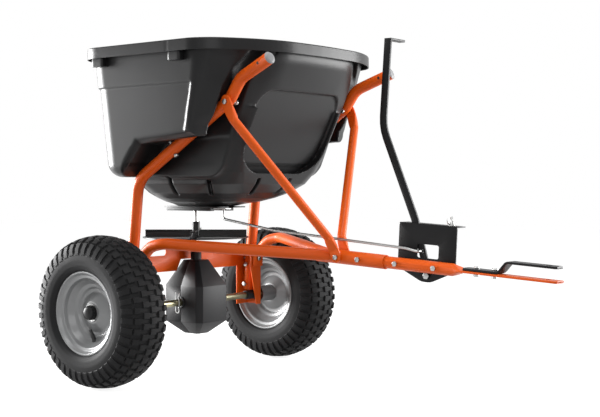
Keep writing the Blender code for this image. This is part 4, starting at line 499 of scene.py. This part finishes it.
# %% Cuts
# The arch's bent line is (x, z). The panel's outline is (sideways, up the slope from height PANEL_Z).
ARCH = np.array([(-0.009, 0.380), (-0.007, 0.420), (0.000, 0.462), (0.072, 0.543), (0.225, 0.556),
                 (0.600, 0.556)])
ARCH_INNER, ARCH_DROP, ARCH_EDGE, ARCH_BEND = 0.170, 0.017, 0.2745, 0.028
PANEL_Z, PANEL_DEPTH = 0.490, 0.0062
PANEL = np.array([(0.086, -0.030), (0.130, 0.000), (0.1395, 0.024), (0.1395, 0.137), (0.1180, 0.166)])
SLOPE_COS = math.cos(math.atan(FRONT_SLOPE))


def arch(x, y, z):
    """Negative in the wheel arch: outside the funnel's side and under a bent line that drops inwards."""
    roof = np.interp(x, ARCH[:, 0], ARCH[:, 1], left=-1.0)
    roof = roof - ARCH_DROP * np.clip((ARCH_EDGE - np.abs(y)) / ARCH_BEND, 0, 1)
    return soft_max(ARCH_INNER - np.abs(y), (z - roof) * 0.8, 0.003)


def groove(x, y, z):
    """Negative in the groove: between two upright planes and under the line that clears the tube."""
    roof = np.interp(x, CEILING[:, 0], CEILING[:, 1], left=-1.0)
    shift = smooth_step((z - 0.650) / 0.070)
    side = np.abs(np.abs(y) - 0.1985 + 0.039 * shift) - 0.0265 - 0.001 * shift
    return soft_max(side, (z - roof) * 0.6, 0.005)


def panel(x, y, z):
    """Negative over the panel: inside a polygon measured sideways and up the slope of the front."""
    up = (z - PANEL_Z) / SLOPE_COS
    y = np.abs(y)
    inside = soft_max(PANEL[0, 1] - up, up - PANEL[-1, 1], 0.01)
    for (u0, v0), (u1, v1) in zip(PANEL, PANEL[1:]):
        length = math.hypot(u1 - u0, v1 - v0)
        inside = soft_max(inside, ((y - u0) * (v1 - v0) - (up - v0) * (u1 - u0)) / length, 0.014)
    return inside


SLOTS, SLOT_Z, SLOT_LEAN = 10, 0.440, math.radians(34)
SLOT_HALF_LENGTH, SLOT_HALF_WIDTH, SLOT_DEPTH = 0.027, 0.0040, 0.0150
FUNNEL_X, FUNNEL_FRONT, FUNNEL_REAR, FUNNEL_SIDE = 0.075, 0.142, 0.130, 0.146


def slots(x, y, z):
    """How much the ten slots sink the surface: a flat bell across each one, times its length's window."""
    sunk = np.zeros_like(x)
    for k in range(SLOTS):
        a = math.radians(198 + 360 * k / SLOTS)
        radius = FUNNEL_FRONT if math.cos(a) > 0 else FUNNEL_REAR
        reach = ((abs(math.cos(a)) / radius) ** 3 + (abs(math.sin(a)) / FUNNEL_SIDE) ** 3) ** (-1 / 3)
        dx, dy, dz = x - FUNNEL_X - reach * math.cos(a), y - reach * math.sin(a), z - SLOT_Z
        across = -dx * math.sin(a) + dy * math.cos(a)
        radial = dx * math.cos(a) + dy * math.sin(a)
        up = dz * math.cos(SLOT_LEAN) + radial * math.sin(SLOT_LEAN)
        window = smooth_step((SLOT_HALF_LENGTH - np.abs(up)) / 0.004)
        window = window * smooth_step((0.05 - np.abs(radial)) / 0.01)
        sunk = np.maximum(sunk, SLOT_DEPTH * np.exp(-(across / SLOT_HALF_WIDTH) ** 4) * window)
    return sunk


def hopper(x, y, z):
    """The whole moulding: tub and funnel joined, then each cut taken out with softened edges."""
    body = -soft_max(-soft_max(tub(x, y, z), -arch(x, y, z), 0.004), -funnel(x, y, z), 0.008)
    body = soft_max(body, -groove(x, y, z), 0.004)
    sloping = (x - FRONT_X + FRONT_SLOPE * (KNEE_Z - z)) * SLOPE_COS
    inset = np.maximum(panel(x, y, z), -PANEL_DEPTH - sloping)
    body = soft_max(body, -inset, 0.0025)
    body = body + slots(x, y, z)
    return soft_max(body, OUTLET_Z - z, 0.003)


print("field at the middle of the tub:", hopper(np.array([0.1]), np.array([0.0]), np.array([0.65])).round(3))

# %% [markdown]
# ## From a field to a surface
# The field is sampled on a grid. Wherever it changes sign inside a small cube, one point is put at the mean
# of the crossings on that cube's edges, and neighbouring points are joined to quads. This is called
# surface nets. Three steps along the field's own gradient then bring the points onto the surface. The outer
# skin is made in two parts that overlap by a few millimetres: the tub, and with a finer grid all that hangs
# under it. The lining, which is the same field pushed in by the wall, gets a coarser one.


# %% Surface nets
def net(field, low, high, step):
    """Quads round the zero surface of a field: mean edge crossings per cell, joined across crossed edges."""
    axes = [np.arange(a, b + step, step) for a, b in zip(low, high)]
    value = field(*np.meshgrid(*axes, indexing="ij"))
    inside = value < 0
    cells = tuple(n - 1 for n in value.shape)
    total, count = np.zeros(cells + (3,)), np.zeros(cells)
    for axis in range(3):
        for offset in ((0, 0), (0, 1), (1, 0), (1, 1)):
            start = list(offset)
            start.insert(axis, 0)
            first = tuple(slice(s, s + n) for s, n in zip(start, cells))
            ends = [s + (i == axis) for i, s in enumerate(start)]
            last = tuple(slice(s, s + n) for s, n in zip(ends, cells))
            a, b = value[first], value[last]
            crossed = (a < 0) != (b < 0)
            t = np.where(crossed, a / np.where(crossed, a - b, 1.0), 0.0)
            for i in range(3):
                total[..., i] += crossed * (t if i == axis else start[i])
            count += crossed
    used = count > 0
    index = np.full(cells, -1)
    index[used] = np.arange(used.sum())
    points = (np.argwhere(used) + total[used] / count[used][:, None]) * step + np.array(low)
    quads = []
    for axis in range(3):
        u, v = (axis + 1) % 3, (axis + 2) % 3
        ahead = np.take(inside, range(1, inside.shape[axis]), axis)
        behind = np.take(inside, range(inside.shape[axis] - 1), axis)
        edge = np.argwhere(ahead != behind)
        edge = edge[(edge[:, u] > 0) & (edge[:, v] > 0) & (edge[:, u] < cells[u]) & (edge[:, v] < cells[v])]
        ring = []
        for du, dv in ((-1, -1), (0, -1), (0, 0), (-1, 0)):
            corner = edge.copy()
            corner[:, u] += du
            corner[:, v] += dv
            ring.append(index[tuple(corner.T)])
        ring = np.stack(ring, axis=1)
        flip = ~inside[tuple(edge.T)]
        ring[flip] = ring[flip][:, ::-1]
        quads.append(ring)
    return points, np.concatenate(quads)


def settled(field, points, steps=3, probe=0.0006):
    """Each point moved along the field's gradient by value over slope, so that it lands on the surface."""
    for _ in range(steps):
        value = field(*points.T)
        slope = np.stack([(field(*(points + offset).T) - field(*(points - offset).T)) / (2 * probe)
                          for offset in np.eye(3) * probe], axis=1)
        move = slope * (value / np.maximum((slope ** 2).sum(1), 0.2))[:, None]
        points = points - np.clip(move, -0.0015, 0.0015)
    return points


FINE = 0.0037
FINEST = 0.0023
COARSE = 0.0060
MEET_Z, HOPPER_WALL, FLOOR_TOP = 0.482, 0.004, 0.400
PORT_X, PORT_HALF_X, PORT_HALF_Y, SHAFT_HOLE = 0.055, 0.0135, 0.035, 0.009
LOW, HIGH = (-0.102, -0.3006, 0.3834), (0.384, 0.3006, 0.731)


def lining(x, y, z):
    """The hopper's field pushed in by its wall."""
    return hopper(x, y, z) + HOPPER_WALL


def moulding(name, field, step, inward=False, low=LOW, high=HIGH):
    """One skin of the hopper as a mesh, with the outlet and the shaft's hole left open in its floor."""
    points, quads = net(field, low, high, step)
    points = settled(field, points)
    middle = points[quads].mean(1)
    floor_face = middle[:, 2] < FLOOR_TOP
    port = (np.abs(middle[:, 0] - PORT_X) < PORT_HALF_X) & (np.abs(middle[:, 1]) < PORT_HALF_Y)
    shaft = np.hypot(middle[:, 0], middle[:, 1]) < SHAFT_HOLE
    quads = quads[~(floor_face & (port | shaft))]
    if inward:
        quads = quads[:, ::-1]
    return mesh_from(name, placed(points), quads, outwards=False)


upper = moulding("hopper_skin", hopper, FINE, low=(LOW[0], LOW[1], MEET_Z - FINE * 1.6))
skin = new_piece("hopper_skin", upper, "black_plastic", ["hopper"], angle=60)
lower = moulding("hopper_funnel", hopper, FINEST, high=(0.30, HIGH[1], MEET_Z + FINEST * 1.6))
new_piece("hopper_funnel", lower, "black_plastic", body=BODY_OF["hopper"], angle=60)
inner = new_piece("hopper_lining", moulding("hopper_lining", lining, COARSE, True), "black_plastic",
                  body=BODY_OF["hopper"], angle=60)
print("hopper skin", len(skin.data.polygons), "quads, lining", len(inner.data.polygons))

# %% [markdown]
# ## Tyres
# The silhouette in the photograph shows 44 knobs per turn, each about two thirds of its pitch long. A tyre
# is one surface of revolution that is raised along its own normal wherever a block stands. The columns of
# the grid are not evenly spaced: they sit close together on each side of a block, so that a small number
# of faces still gives crisp edges. The rows beside the middle one are shifted by half a pitch.

# %% Tyre surface
WHEEL_Y, WHEEL_Z = 0.2955, 0.165
KNOBS, BLOCK, RAMP, EDGE, BLOCK_HEIGHT = 44, 0.64, 0.055, 0.0012, 0.0044
# Half of the tyre's section, from bead to crown: (distance from the wheel's middle plane, radius).
SECTION = filleted([(0.0430, 0.0845), (0.0480, 0.0868), (0.0486, 0.0905), (0.0530, 0.0935), (0.0568, 0.1020),
                    (0.0584, 0.1140), (0.0574, 0.1270), (0.0526, 0.1400), (0.0430, 0.1510), (0.0270, 0.1580),
                    (0.0, 0.1606)], (0.0010, 0.0015, 0.0020, 0.0080, 0.030, 0.040, 0.030, 0.030, 0.080))
# Each row of blocks: where it begins and ends, walked from the crown, and its shift in pitches.
TREAD_ROWS = ((-0.0085, 0.0085, 0.0), (0.0122, 0.0272, 0.5), (0.0312, 0.0500, 0.0), (0.0516, 0.0790, 0.0))


def flat_top(t, low, high, ramp):
    """1 between low and high, 0 outside, with straight ramps of the given width inside both ends."""
    return np.clip(np.minimum(t - low, high - t) / ramp, 0, 1)


def tyre(name, side):
    """Section points turned about the axle, each lifted along its normal by the tread pattern's height."""
    walked = np.concatenate([[0], np.cumsum(np.linalg.norm(np.diff(SECTION, axis=0), axis=1))])
    from_crown = (walked[-1] - walked)[::-1]
    marks = np.array([mark for low, high, _ in TREAD_ROWS
                      for mark in (low, low + EDGE, (low + high) / 2, high - EDGE, high)])
    distance = np.concatenate([[0.0], marks[marks > 0], np.linspace(0.081, from_crown[-1], 24)])
    distance = np.unique(distance.round(5))
    ring = np.stack([np.interp(distance, from_crown, SECTION[::-1, i]) for i in (0, 1)], axis=1)
    along = np.gradient(ring, distance, axis=0)
    along /= np.linalg.norm(along, axis=1, keepdims=True)
    edges = np.array([0.0, RAMP, BLOCK / 2, BLOCK - RAMP, BLOCK])
    steps = np.unique(np.mod(np.concatenate([edges, edges + 0.5]), 1.0).round(5))
    turn = (np.arange(KNOBS)[:, None] + steps[None, :]).reshape(-1)
    lift = np.zeros((len(distance), len(turn)))
    for low, high, shift in TREAD_ROWS:
        window = flat_top(distance, low, high, EDGE)
        lift = np.maximum(lift, window[:, None] * flat_top(np.mod(turn - shift, 1.0), 0, BLOCK, RAMP))
    fade = 1 - 0.75 * smooth_step((distance - 0.056) / 0.022)
    lift *= BLOCK_HEIGHT * fade[:, None]
    across = ring[:, None, 0] - along[:, None, 1] * lift
    radius = ring[:, None, 1] + along[:, None, 0] * lift
    angle = turn / KNOBS * 2 * np.pi
    half = np.stack([radius * np.sin(angle), across, radius * np.cos(angle)], axis=-1)
    rows = np.concatenate([half[::-1], half[1:] * np.array([1, -1, 1])])
    return surface(name, rows + at(0, side * WHEEL_Y, WHEEL_Z), close_rows=True)


for side, label in ((-1, "right"), (1, "left")):
    mesh = tyre(f"tyre_skin_{label}", side)
    made = new_piece(f"tyre_skin_{label}", mesh, "tyre_rubber", [f"tyre_{label}"], angle=35)
print("one tyre has", len(made.data.polygons), "faces and is", round(made.dimensions.z, 4), "m tall")

# %% [markdown]
# ## Rims, hubs and valves
# A pressed rim is two dished discs on a hub tube. Seen from the side it reads as a rolled lip, a narrow
# step, a deep dish with a second step near its floor, and a low cone that rises to the hub tube and the
# bright sleeve in it. Each list below gives (radius, height) pairs along the piece's own axis.

# %% Rims
DISH = filleted([(0.0199, 0.0262), (0.0235, 0.0258), (0.0430, 0.0125), (0.0505, 0.0128), (0.0545, 0.0178),
                 (0.0620, 0.0208), (0.0715, 0.0330), (0.0748, 0.0412), (0.0810, 0.0425), (0.0838, 0.0460),
                 (0.0862, 0.0498), (0.0899, 0.0499), (0.0899, 0.0474), (0.0866, 0.0468), (0.0838, 0.0410),
                 (0.0834, 0.0290), (0.0722, 0.0170), (0.0722, 0.0)],
                (0.003, 0.007, 0.003, 0.004, 0.008, 0.010, 0.003, 0.003, 0.002, 0.0018, 0.0011, 0.0011,
                 0.0015, 0.003, 0.003, 0.005))


def both_faces(section):
    """A half section and its mirror image below, as one closed ring of (radius, height) pairs."""
    return np.concatenate([section, section[::-1] * np.array([1, -1])])


BARREL = [(0.0192, -0.0729), (0.0195, -0.0722), (0.0195, 0.0272), (0.0192, 0.0279), (0.0188, 0.0279),
          (0.0188, -0.0729)]
SLEEVE = [(0.0187, -0.0735), (0.0187, 0.0285), (0.0166, 0.0285), (0.0163, 0.0283), (0.0160, 0.0274),
          (0.0087, 0.0274), (0.0087, -0.0625), (0.0163, -0.0625), (0.0163, -0.0732), (0.0166, -0.0735)]
STEM = filleted([(0.0, 0.0290), (0.0030, 0.0290), (0.0034, 0.0270), (0.0034, 0.0225), (0.0042, 0.0210),
                 (0.0047, 0.0150), (0.0047, 0.0040), (0.0062, 0.0010), (0.0, -0.0010)],
                (0.0006, 0.0006, 0.001, 0.001, 0.002, 0.001, 0.0005))
CAP = filleted([(0.0, 0.0436), (0.0085, 0.0434), (0.0155, 0.0385), (0.0155, 0.0288), (0.0, 0.0288)],
               (0.02, 0.008, 0.0006))
# The valve's two ends: how far outwards of the wheel's middle, and how far from the axle. It stands above
# the axle on the left wheel and below it on the right one.
STEM_FOOT, STEM_TIP = (0.0190, 0.0620), (0.0310, 0.0370)

for side, label in ((-1, "right"), (1, "left")):
    hub = at(0, side * WHEEL_Y, WHEEL_Z)
    out = (0, side, 0)
    wheel = BODY_OF[f"wheel_rim_{label}"]
    turned_piece(f"rim_{label}", both_faces(DISH), hub, out, "rim_paint", 144,
                 replaced=[f"wheel_rim_{label}"], angle=50)
    turned_piece(f"hub_tube_{label}", BARREL, hub, out, "rim_paint", body=wheel)
    turned_piece(f"hub_sleeve_{label}", SLEEVE, hub, out, "bright_zinc", body=wheel)
    foot = hub + side * np.array([0, *STEM_FOOT])
    tip = hub + side * np.array([0, *STEM_TIP])
    lean = (tip - foot) / np.linalg.norm(tip - foot)
    turned_piece(f"valve_{label}", STEM, foot, lean, "valve_rubber", 32, False,
                 replaced=[f"valve_stem_{label}"])
    turned_piece(f"cap_{label}", CAP, hub, out, "black_plastic", close=False, replaced=[f"hub_cap_{label}"])
print("rim section points:", len(DISH))

# %% [markdown]
# ## The rim of the hopper
# The hopper's top edge is rolled outwards into a deep band. Its plan was read off the photograph: straight
# sides, round rear corners, and a front that bows forward in one long curve. The band is a closed strip of
# sheet swept round that plan. A fine upright groove crosses it on each side, as the photograph shows on the
# near one.

# %% Rim band
PLAN = filleted([(-0.090, 0.0), (-0.090, -0.293), (0.2655, -0.293), (0.306, -0.2705), (0.348, -0.210),
                 (0.378, -0.135), (0.386, 0.0), (0.378, 0.135), (0.348, 0.210), (0.306, 0.2705),
                 (0.2655, 0.293), (-0.090, 0.293), (-0.090, 0.0)],
                (0.073, 0.060, 0.100, 0.30, 0.25, 0.80, 0.25, 0.30, 0.100, 0.060, 0.073),
                step=math.radians(3))


def evenly(path, spacing):
    """The same open path with points at equal distances."""
    walked = np.concatenate([[0], np.cumsum(np.linalg.norm(np.diff(path, axis=0), axis=1))])
    marks = np.linspace(0, walked[-1], int(walked[-1] / spacing) + 1)
    return np.stack([np.interp(marks, walked, path[:, i]) for i in range(path.shape[1])], axis=1)


def plan_normals(path):
    """The outward normal at each point of a closed plan that runs the same way round as PLAN."""
    along = np.roll(path, -1, axis=0) - np.roll(path, 1, axis=0)
    along /= np.linalg.norm(along, axis=1, keepdims=True)
    return np.stack([along[:, 1], -along[:, 0]], axis=1)


SEAM_X, SEAM_WIDTH, SEAM_DEPTH = 0.195, 0.0016, 0.0014
plan = evenly(PLAN, 0.004)[:-1]
outward = plan_normals(plan)
lip = filleted([(-0.0190, 0.7270), (-0.0190, 0.7350), (-0.0003, 0.7350), (0.0, 0.7110), (-0.0022, 0.7110),
                (-0.0026, 0.7318), (-0.0150, 0.7318), (-0.0160, 0.7240)],
               (0.0012, 0.0028, 0.0008, 0.0008, 0.0020, 0.0020))
on_side = np.abs(plan[:, 1]) > 0.28
seam = np.exp(-((plan[:, 0] - SEAM_X) / SEAM_WIDTH) ** 2) * on_side
proud = np.clip((lip[:, 0] + 0.006) / 0.006, 0, 1)
offset = lip[None, :, 0] - SEAM_DEPTH * seam[:, None] * proud[None, :]
band = np.concatenate([plan[:, None, :] + outward[:, None, :] * offset[..., None],
                       np.broadcast_to(lip[None, :, 1, None], offset.shape + (1,))], axis=-1)
rim_band = new_piece("rim_band", surface("rim_band", placed(band), close_rows=True), "black_plastic",
                     body=BODY_OF["hopper"], angle=50)
print("rim band", len(rim_band.data.polygons), "quads, outward first:", outward[0].round(2))


# %% [markdown]
# Two short lugs hang under the band on each side. They are blocks with rounded edges, built as a
# superellipse: the points of a circle, pushed out towards the corners of the square round it.


# %% Lugs
def soft_block(name, low, high, power=8.0, count=48, crown=0.0015):
    """A closed block whose plan is a superellipse and whose ends close in over rounded shoulders."""
    low, high = np.asarray(low, float), np.asarray(high, float)
    middle, half = (low + high) / 2, (high - low) / 2
    angle = np.linspace(0, 2 * np.pi, count, endpoint=False) + np.pi / count
    spread = (np.abs(np.cos(angle)) ** power + np.abs(np.sin(angle)) ** power) ** (-1 / power)
    plan = np.stack([np.cos(angle), np.sin(angle)], axis=1) * spread[:, None]
    levels = [(-1, 0.0), (-1, crown), (-1 + crown / half[2] * 0.3, crown * 0.3), (-1 + crown / half[2], 0.0)]
    rings = []
    for height, inset in levels + [(-h, i) for h, i in reversed(levels)]:
        size = half[:2] - inset if (height, inset) not in (levels[0], (1, 0.0)) else half[:2] * 0.0
        level = np.full((count, 1), middle[2] + height * half[2])
        rings.append(np.concatenate([middle[:2] + plan * size, level], axis=1))
    return surface(name, np.array(rings))


LUG_X, LUG_HALF, LUG_Y, LUG_Z = (-0.0175, 0.213), 0.017, (0.2742, 0.2902), (0.693, 0.7125)
for side, label in ((-1, "right"), (1, "left")):
    for number, x in enumerate(LUG_X):
        near, far = sorted(side * y for y in LUG_Y)
        low, high = at(x - LUG_HALF, near, LUG_Z[0]), at(x + LUG_HALF, far, LUG_Z[1])
        mesh = soft_block(f"rim_lug_{number}_{label}", low, high)
        new_piece(f"rim_lug_{number}_{label}", mesh, "black_plastic", body=BODY_OF["hopper"])
print("lugs done")

# %% [markdown]
# ## Bars and tubes
# The frame is bent tube and flat bar. Both are one idea: a cross-section carried along a path. The section
# is a superellipse, whose power says how square it is: 2 is round, 8 is a flat bar with soft edges. The
# ends of a bar are drawn in along a quarter ellipse, which gives the round ears of the braces.


# %% Sweeps
def bar(name, path, sizes, across, count=32, round_from=0.0, round_to=0.0, spacing=0.006):
    """A superellipse carried along a path; sizes give half width, half thickness and power at each point."""
    path, sizes = placed(path), np.asarray(sizes, float)
    walked = np.concatenate([[0], np.cumsum(np.linalg.norm(np.diff(path, axis=0), axis=1))])
    long = walked[-1]
    ends = 1 - np.cos(np.linspace(0.12, np.pi / 2, 9))
    marks = [np.linspace(0, long, max(3, int(long / spacing))), walked]
    if round_from:
        marks.append(ends * round_from)
    if round_to:
        marks.append(long - ends * round_to)
    marks = np.unique(np.concatenate(marks).round(5))
    marks = marks[(marks >= ends[0] * round_from) & (marks <= long - ends[0] * round_to)]
    centre = np.stack([np.interp(marks, walked, path[:, i]) for i in range(3)], axis=1)
    width, thick, power = (np.interp(marks, walked, sizes[:, i]) for i in range(3))
    if round_from:
        width = width * np.sqrt(1 - np.clip(1 - marks / round_from, 0, 1) ** 2)
    if round_to:
        width = width * np.sqrt(1 - np.clip(1 - (long - marks) / round_to, 0, 1) ** 2)
    on = np.gradient(centre, marks, axis=0)
    on /= np.linalg.norm(on, axis=1, keepdims=True)
    across = np.asarray(across, float)
    out = across - on * (on @ across)[:, None]
    out /= np.linalg.norm(out, axis=1, keepdims=True)
    up = np.cross(on, out)
    angle = (np.arange(count) + 0.5) / count * 2 * np.pi
    c, s = np.cos(angle)[None, :], np.sin(angle)[None, :]
    a = np.sign(c) * np.abs(c) ** (2 / power[:, None]) * width[:, None]
    b = np.sign(s) * np.abs(s) ** (2 / power[:, None]) * thick[:, None]
    rings = centre[:, None, :] + a[..., None] * out[:, None, :] + b[..., None] * up[:, None, :]
    return surface(name, rings, caps=True)


def pipe(name, path, radius):
    """A round bar of one radius."""
    return bar(name, path, [(radius, radius, 2.0)] * len(path), (0, 1, 0))


def with_side(points, side):
    """The same path on the right (-1) or left (1) side, given once with y counted outwards."""
    return np.asarray(points, float) * np.array([1, side, 1])


# %% [markdown]
# The two support tubes run up from the hangers, under the hopper and out in front of it. Past the brace
# bolt they splay outwards a little, and each end is closed with a grey push-in plug. Each tube has a small
# hole just behind its plug. The swept tube isn't cut there: a thin ring marks the hole, and a dark rod through it
# is painted shade for the hole's dark inside.

# %% Support tubes
SPLAY_FROM, SPLAY, TUBE_END_X = 0.300, 0.0150, 0.4070
EYE_BACK, EYE_R, EYE_WALL, EYE_REACH = 0.026, 0.0032, 0.0009, 0.0131
EYE_RING = filleted([(EYE_R, EYE_REACH), (EYE_R + EYE_WALL, EYE_REACH), (EYE_R + EYE_WALL, -EYE_REACH),
                     (EYE_R, -EYE_REACH)], (0.0003, 0.0003))
# A dark solid rod as long as the tube is wide: painted shade where the hole would be dark inside.
EYE_SHADE_ROD = [(0.0, 0.01315), (EYE_R, 0.01315), (EYE_R, -0.01315), (0.0, -0.01315)]
PLUG = filleted([(0.0, 0.0034), (0.0100, 0.0034), (0.0121, 0.0010), (0.0121, -0.0010), (0.0, -0.0010)],
                (0.010, 0.0016, 0.0004))
tube_path = filleted([*TUBE_FOOT, (0.318, 0.6560), (TUBE_END_X, 0.6905)], (0.060, 0.050, 0.050))
tail = tube_path[-2] + (tube_path[-1] - tube_path[-2]) * np.linspace(0, 1, 9)[1:-1, None]
tube_path = np.concatenate([tube_path[:-1], tail, tube_path[-1:]])
outwards = TUBE_Y + SPLAY * np.clip((tube_path[:, 0] - SPLAY_FROM) / (TUBE_END_X - SPLAY_FROM), 0, 1) ** 1.3
tube_path = np.stack([tube_path[:, 0], outwards, tube_path[:, 1]], axis=1)
for side, label in ((-1, "right"), (1, "left")):
    path = with_side(tube_path, side)
    end, before = path[-1], path[-2]
    way = (end - before) / np.linalg.norm(end - before)
    new_piece(f"tube_{label}", pipe(f"tube_{label}", path, TUBE_R), "orange_paint", [f"support_tube_{label}"])
    turned_piece(f"plug_{label}", PLUG, placed(end), way, "grey_plastic", 48, False,
                 replaced=[f"tube_plug_{label}"])
    eye, out, body = placed(end - way * EYE_BACK), (0, side, 0), BODY_OF[f"support_tube_{label}"]
    turned_piece(f"eye_{label}", EYE_RING, eye, out, "orange_paint", 32, body=body)
    # A dark rubber rod through the tube, painted shade where the uncut hole would be dark inside.
    turned_piece(f"eye_painted_shade_{label}", EYE_SHADE_ROD, eye, out, "valve_rubber", 32, False, body=body)
print("tube ends at", end.round(4))

# %% [markdown]
# The braces are tubes whose ends are pressed flat and rounded. The flat part blends into the round part
# over about 20 mm, as it does when the press squeezes it.

# %% Braces
DRAWBAR_SLOPE, DRAWBAR_Z0 = math.radians(3.1), 0.3082
EAR, EAR_THICK, BRACE_R, SOCKET_R, SEAT_GAP = 0.012, 0.0025, 0.0095, 0.0150, 0.0003
BRACE_TOP_X, BRACE_TOP_DROP, BRACE_FOOT_X = 0.2905, 0.0115, 0.425
BRACE_FOOT_Z = DRAWBAR_Z0 - math.tan(DRAWBAR_SLOPE) * BRACE_FOOT_X

for side, label in ((-1, "right"), (1, "left")):
    bolt_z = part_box(f"brace_{label}")[1][2] - BRACE_TOP_DROP
    top = np.array([BRACE_TOP_X, TUBE_Y + TUBE_R + SEAT_GAP + EAR_THICK, bolt_z])
    foot = np.array([BRACE_FOOT_X, SOCKET_R + SEAT_GAP + EAR_THICK, BRACE_FOOT_Z])
    way = (foot - top) * np.array([1, 0, 1])
    way /= np.linalg.norm(way)
    run = [top - way * EAR, top + way * (EAR + 0.002), top + way * (EAR + 0.024), foot - way * (EAR + 0.024),
           foot - way * (EAR + 0.002), foot + way * EAR]
    run[2] = run[2] + (run[3] - run[2]) * 0.03
    run[3] = run[3] + (run[2] - run[3]) * 0.03
    flat, full = (EAR, EAR_THICK, 8.0), (BRACE_R, BRACE_R, 2.0)
    mesh = bar(f"strut_{label}", with_side(run, side), [flat, flat, full, full, flat, flat],
               (way[2], 0, -way[0]), count=40, round_from=EAR, round_to=EAR)
    new_piece(f"strut_{label}", mesh, "orange_paint", [f"brace_{label}"])
print("brace top at", top.round(4), "foot at", foot.round(4))

# %% [markdown]
# ## Softened construction pieces
# Plates, bolts, gears and bars keep the shape they have in the construction. Only their edges look too
# hard, because no real edge is perfectly sharp. Each is copied, its loose triangles are merged, flat areas
# are joined, and the sharp edges get a small round. ROUNDING names the pieces whose round isn't 0.6 mm.


# %% Softened copies
def softened(name, radius, sharp):
    """A node's own mesh with merged faces, and its edges sharper than an angle rounded by a radius."""
    bm = bmesh.new()
    bm.from_mesh(frame["nodes"][name].data)
    bmesh.ops.remove_doubles(bm, verts=bm.verts, dist=1e-5)
    bmesh.ops.dissolve_limit(bm, angle_limit=math.radians(0.8), verts=bm.verts, edges=bm.edges)
    bmesh.ops.recalc_face_normals(bm, faces=bm.faces)
    limit = math.radians(sharp)
    edges = [edge for edge in bm.edges if len(edge.link_faces) == 2 and edge.calc_face_angle(0) > limit]
    bmesh.ops.bevel(bm, geom=edges, offset=radius, segments=2, profile=0.5, affect="EDGES",
                    clamp_overlap=True)
    bmesh.ops.triangulate(bm, faces=[face for face in bm.faces if len(face.verts) > 4])
    made = bpy.data.meshes.new(f"soft_{name}")
    bm.to_mesh(made)
    bm.free()
    return made


REBUILT_KINDS = ("tyre", "wheel_rim", "valve_stem", "hub_cap", "support_tube", "tube_plug", "brace")
REPLACED = {"hopper"} | {f"{kind}_{label}" for label in ("right", "left") for kind in REBUILT_KINDS}
ROUNDING = {"gearbox_case_front": 0.0010, "gearbox_case_rear": 0.0010, "lever": 0.0012, "tongue": 0.0012,
            "hitch_strap": 0.0012, "lever_bracket": 0.0008, "hairpin": 0.0, "ring_gear": 0.0003,
            "pinion": 0.0003}
for name in frame["nodes"]:
    if name not in REPLACED:
        faceted = name.startswith("gearbox")
        mesh = softened(name, ROUNDING.get(name, 0.0006), 12.0 if faceted else 34.0)
        new_piece(f"soft_{name}", mesh, SLOT_OF[name], [name], angle=24 if faceted else 38)
print("softened", len(frame["nodes"]) - len(REPLACED), "nodes")
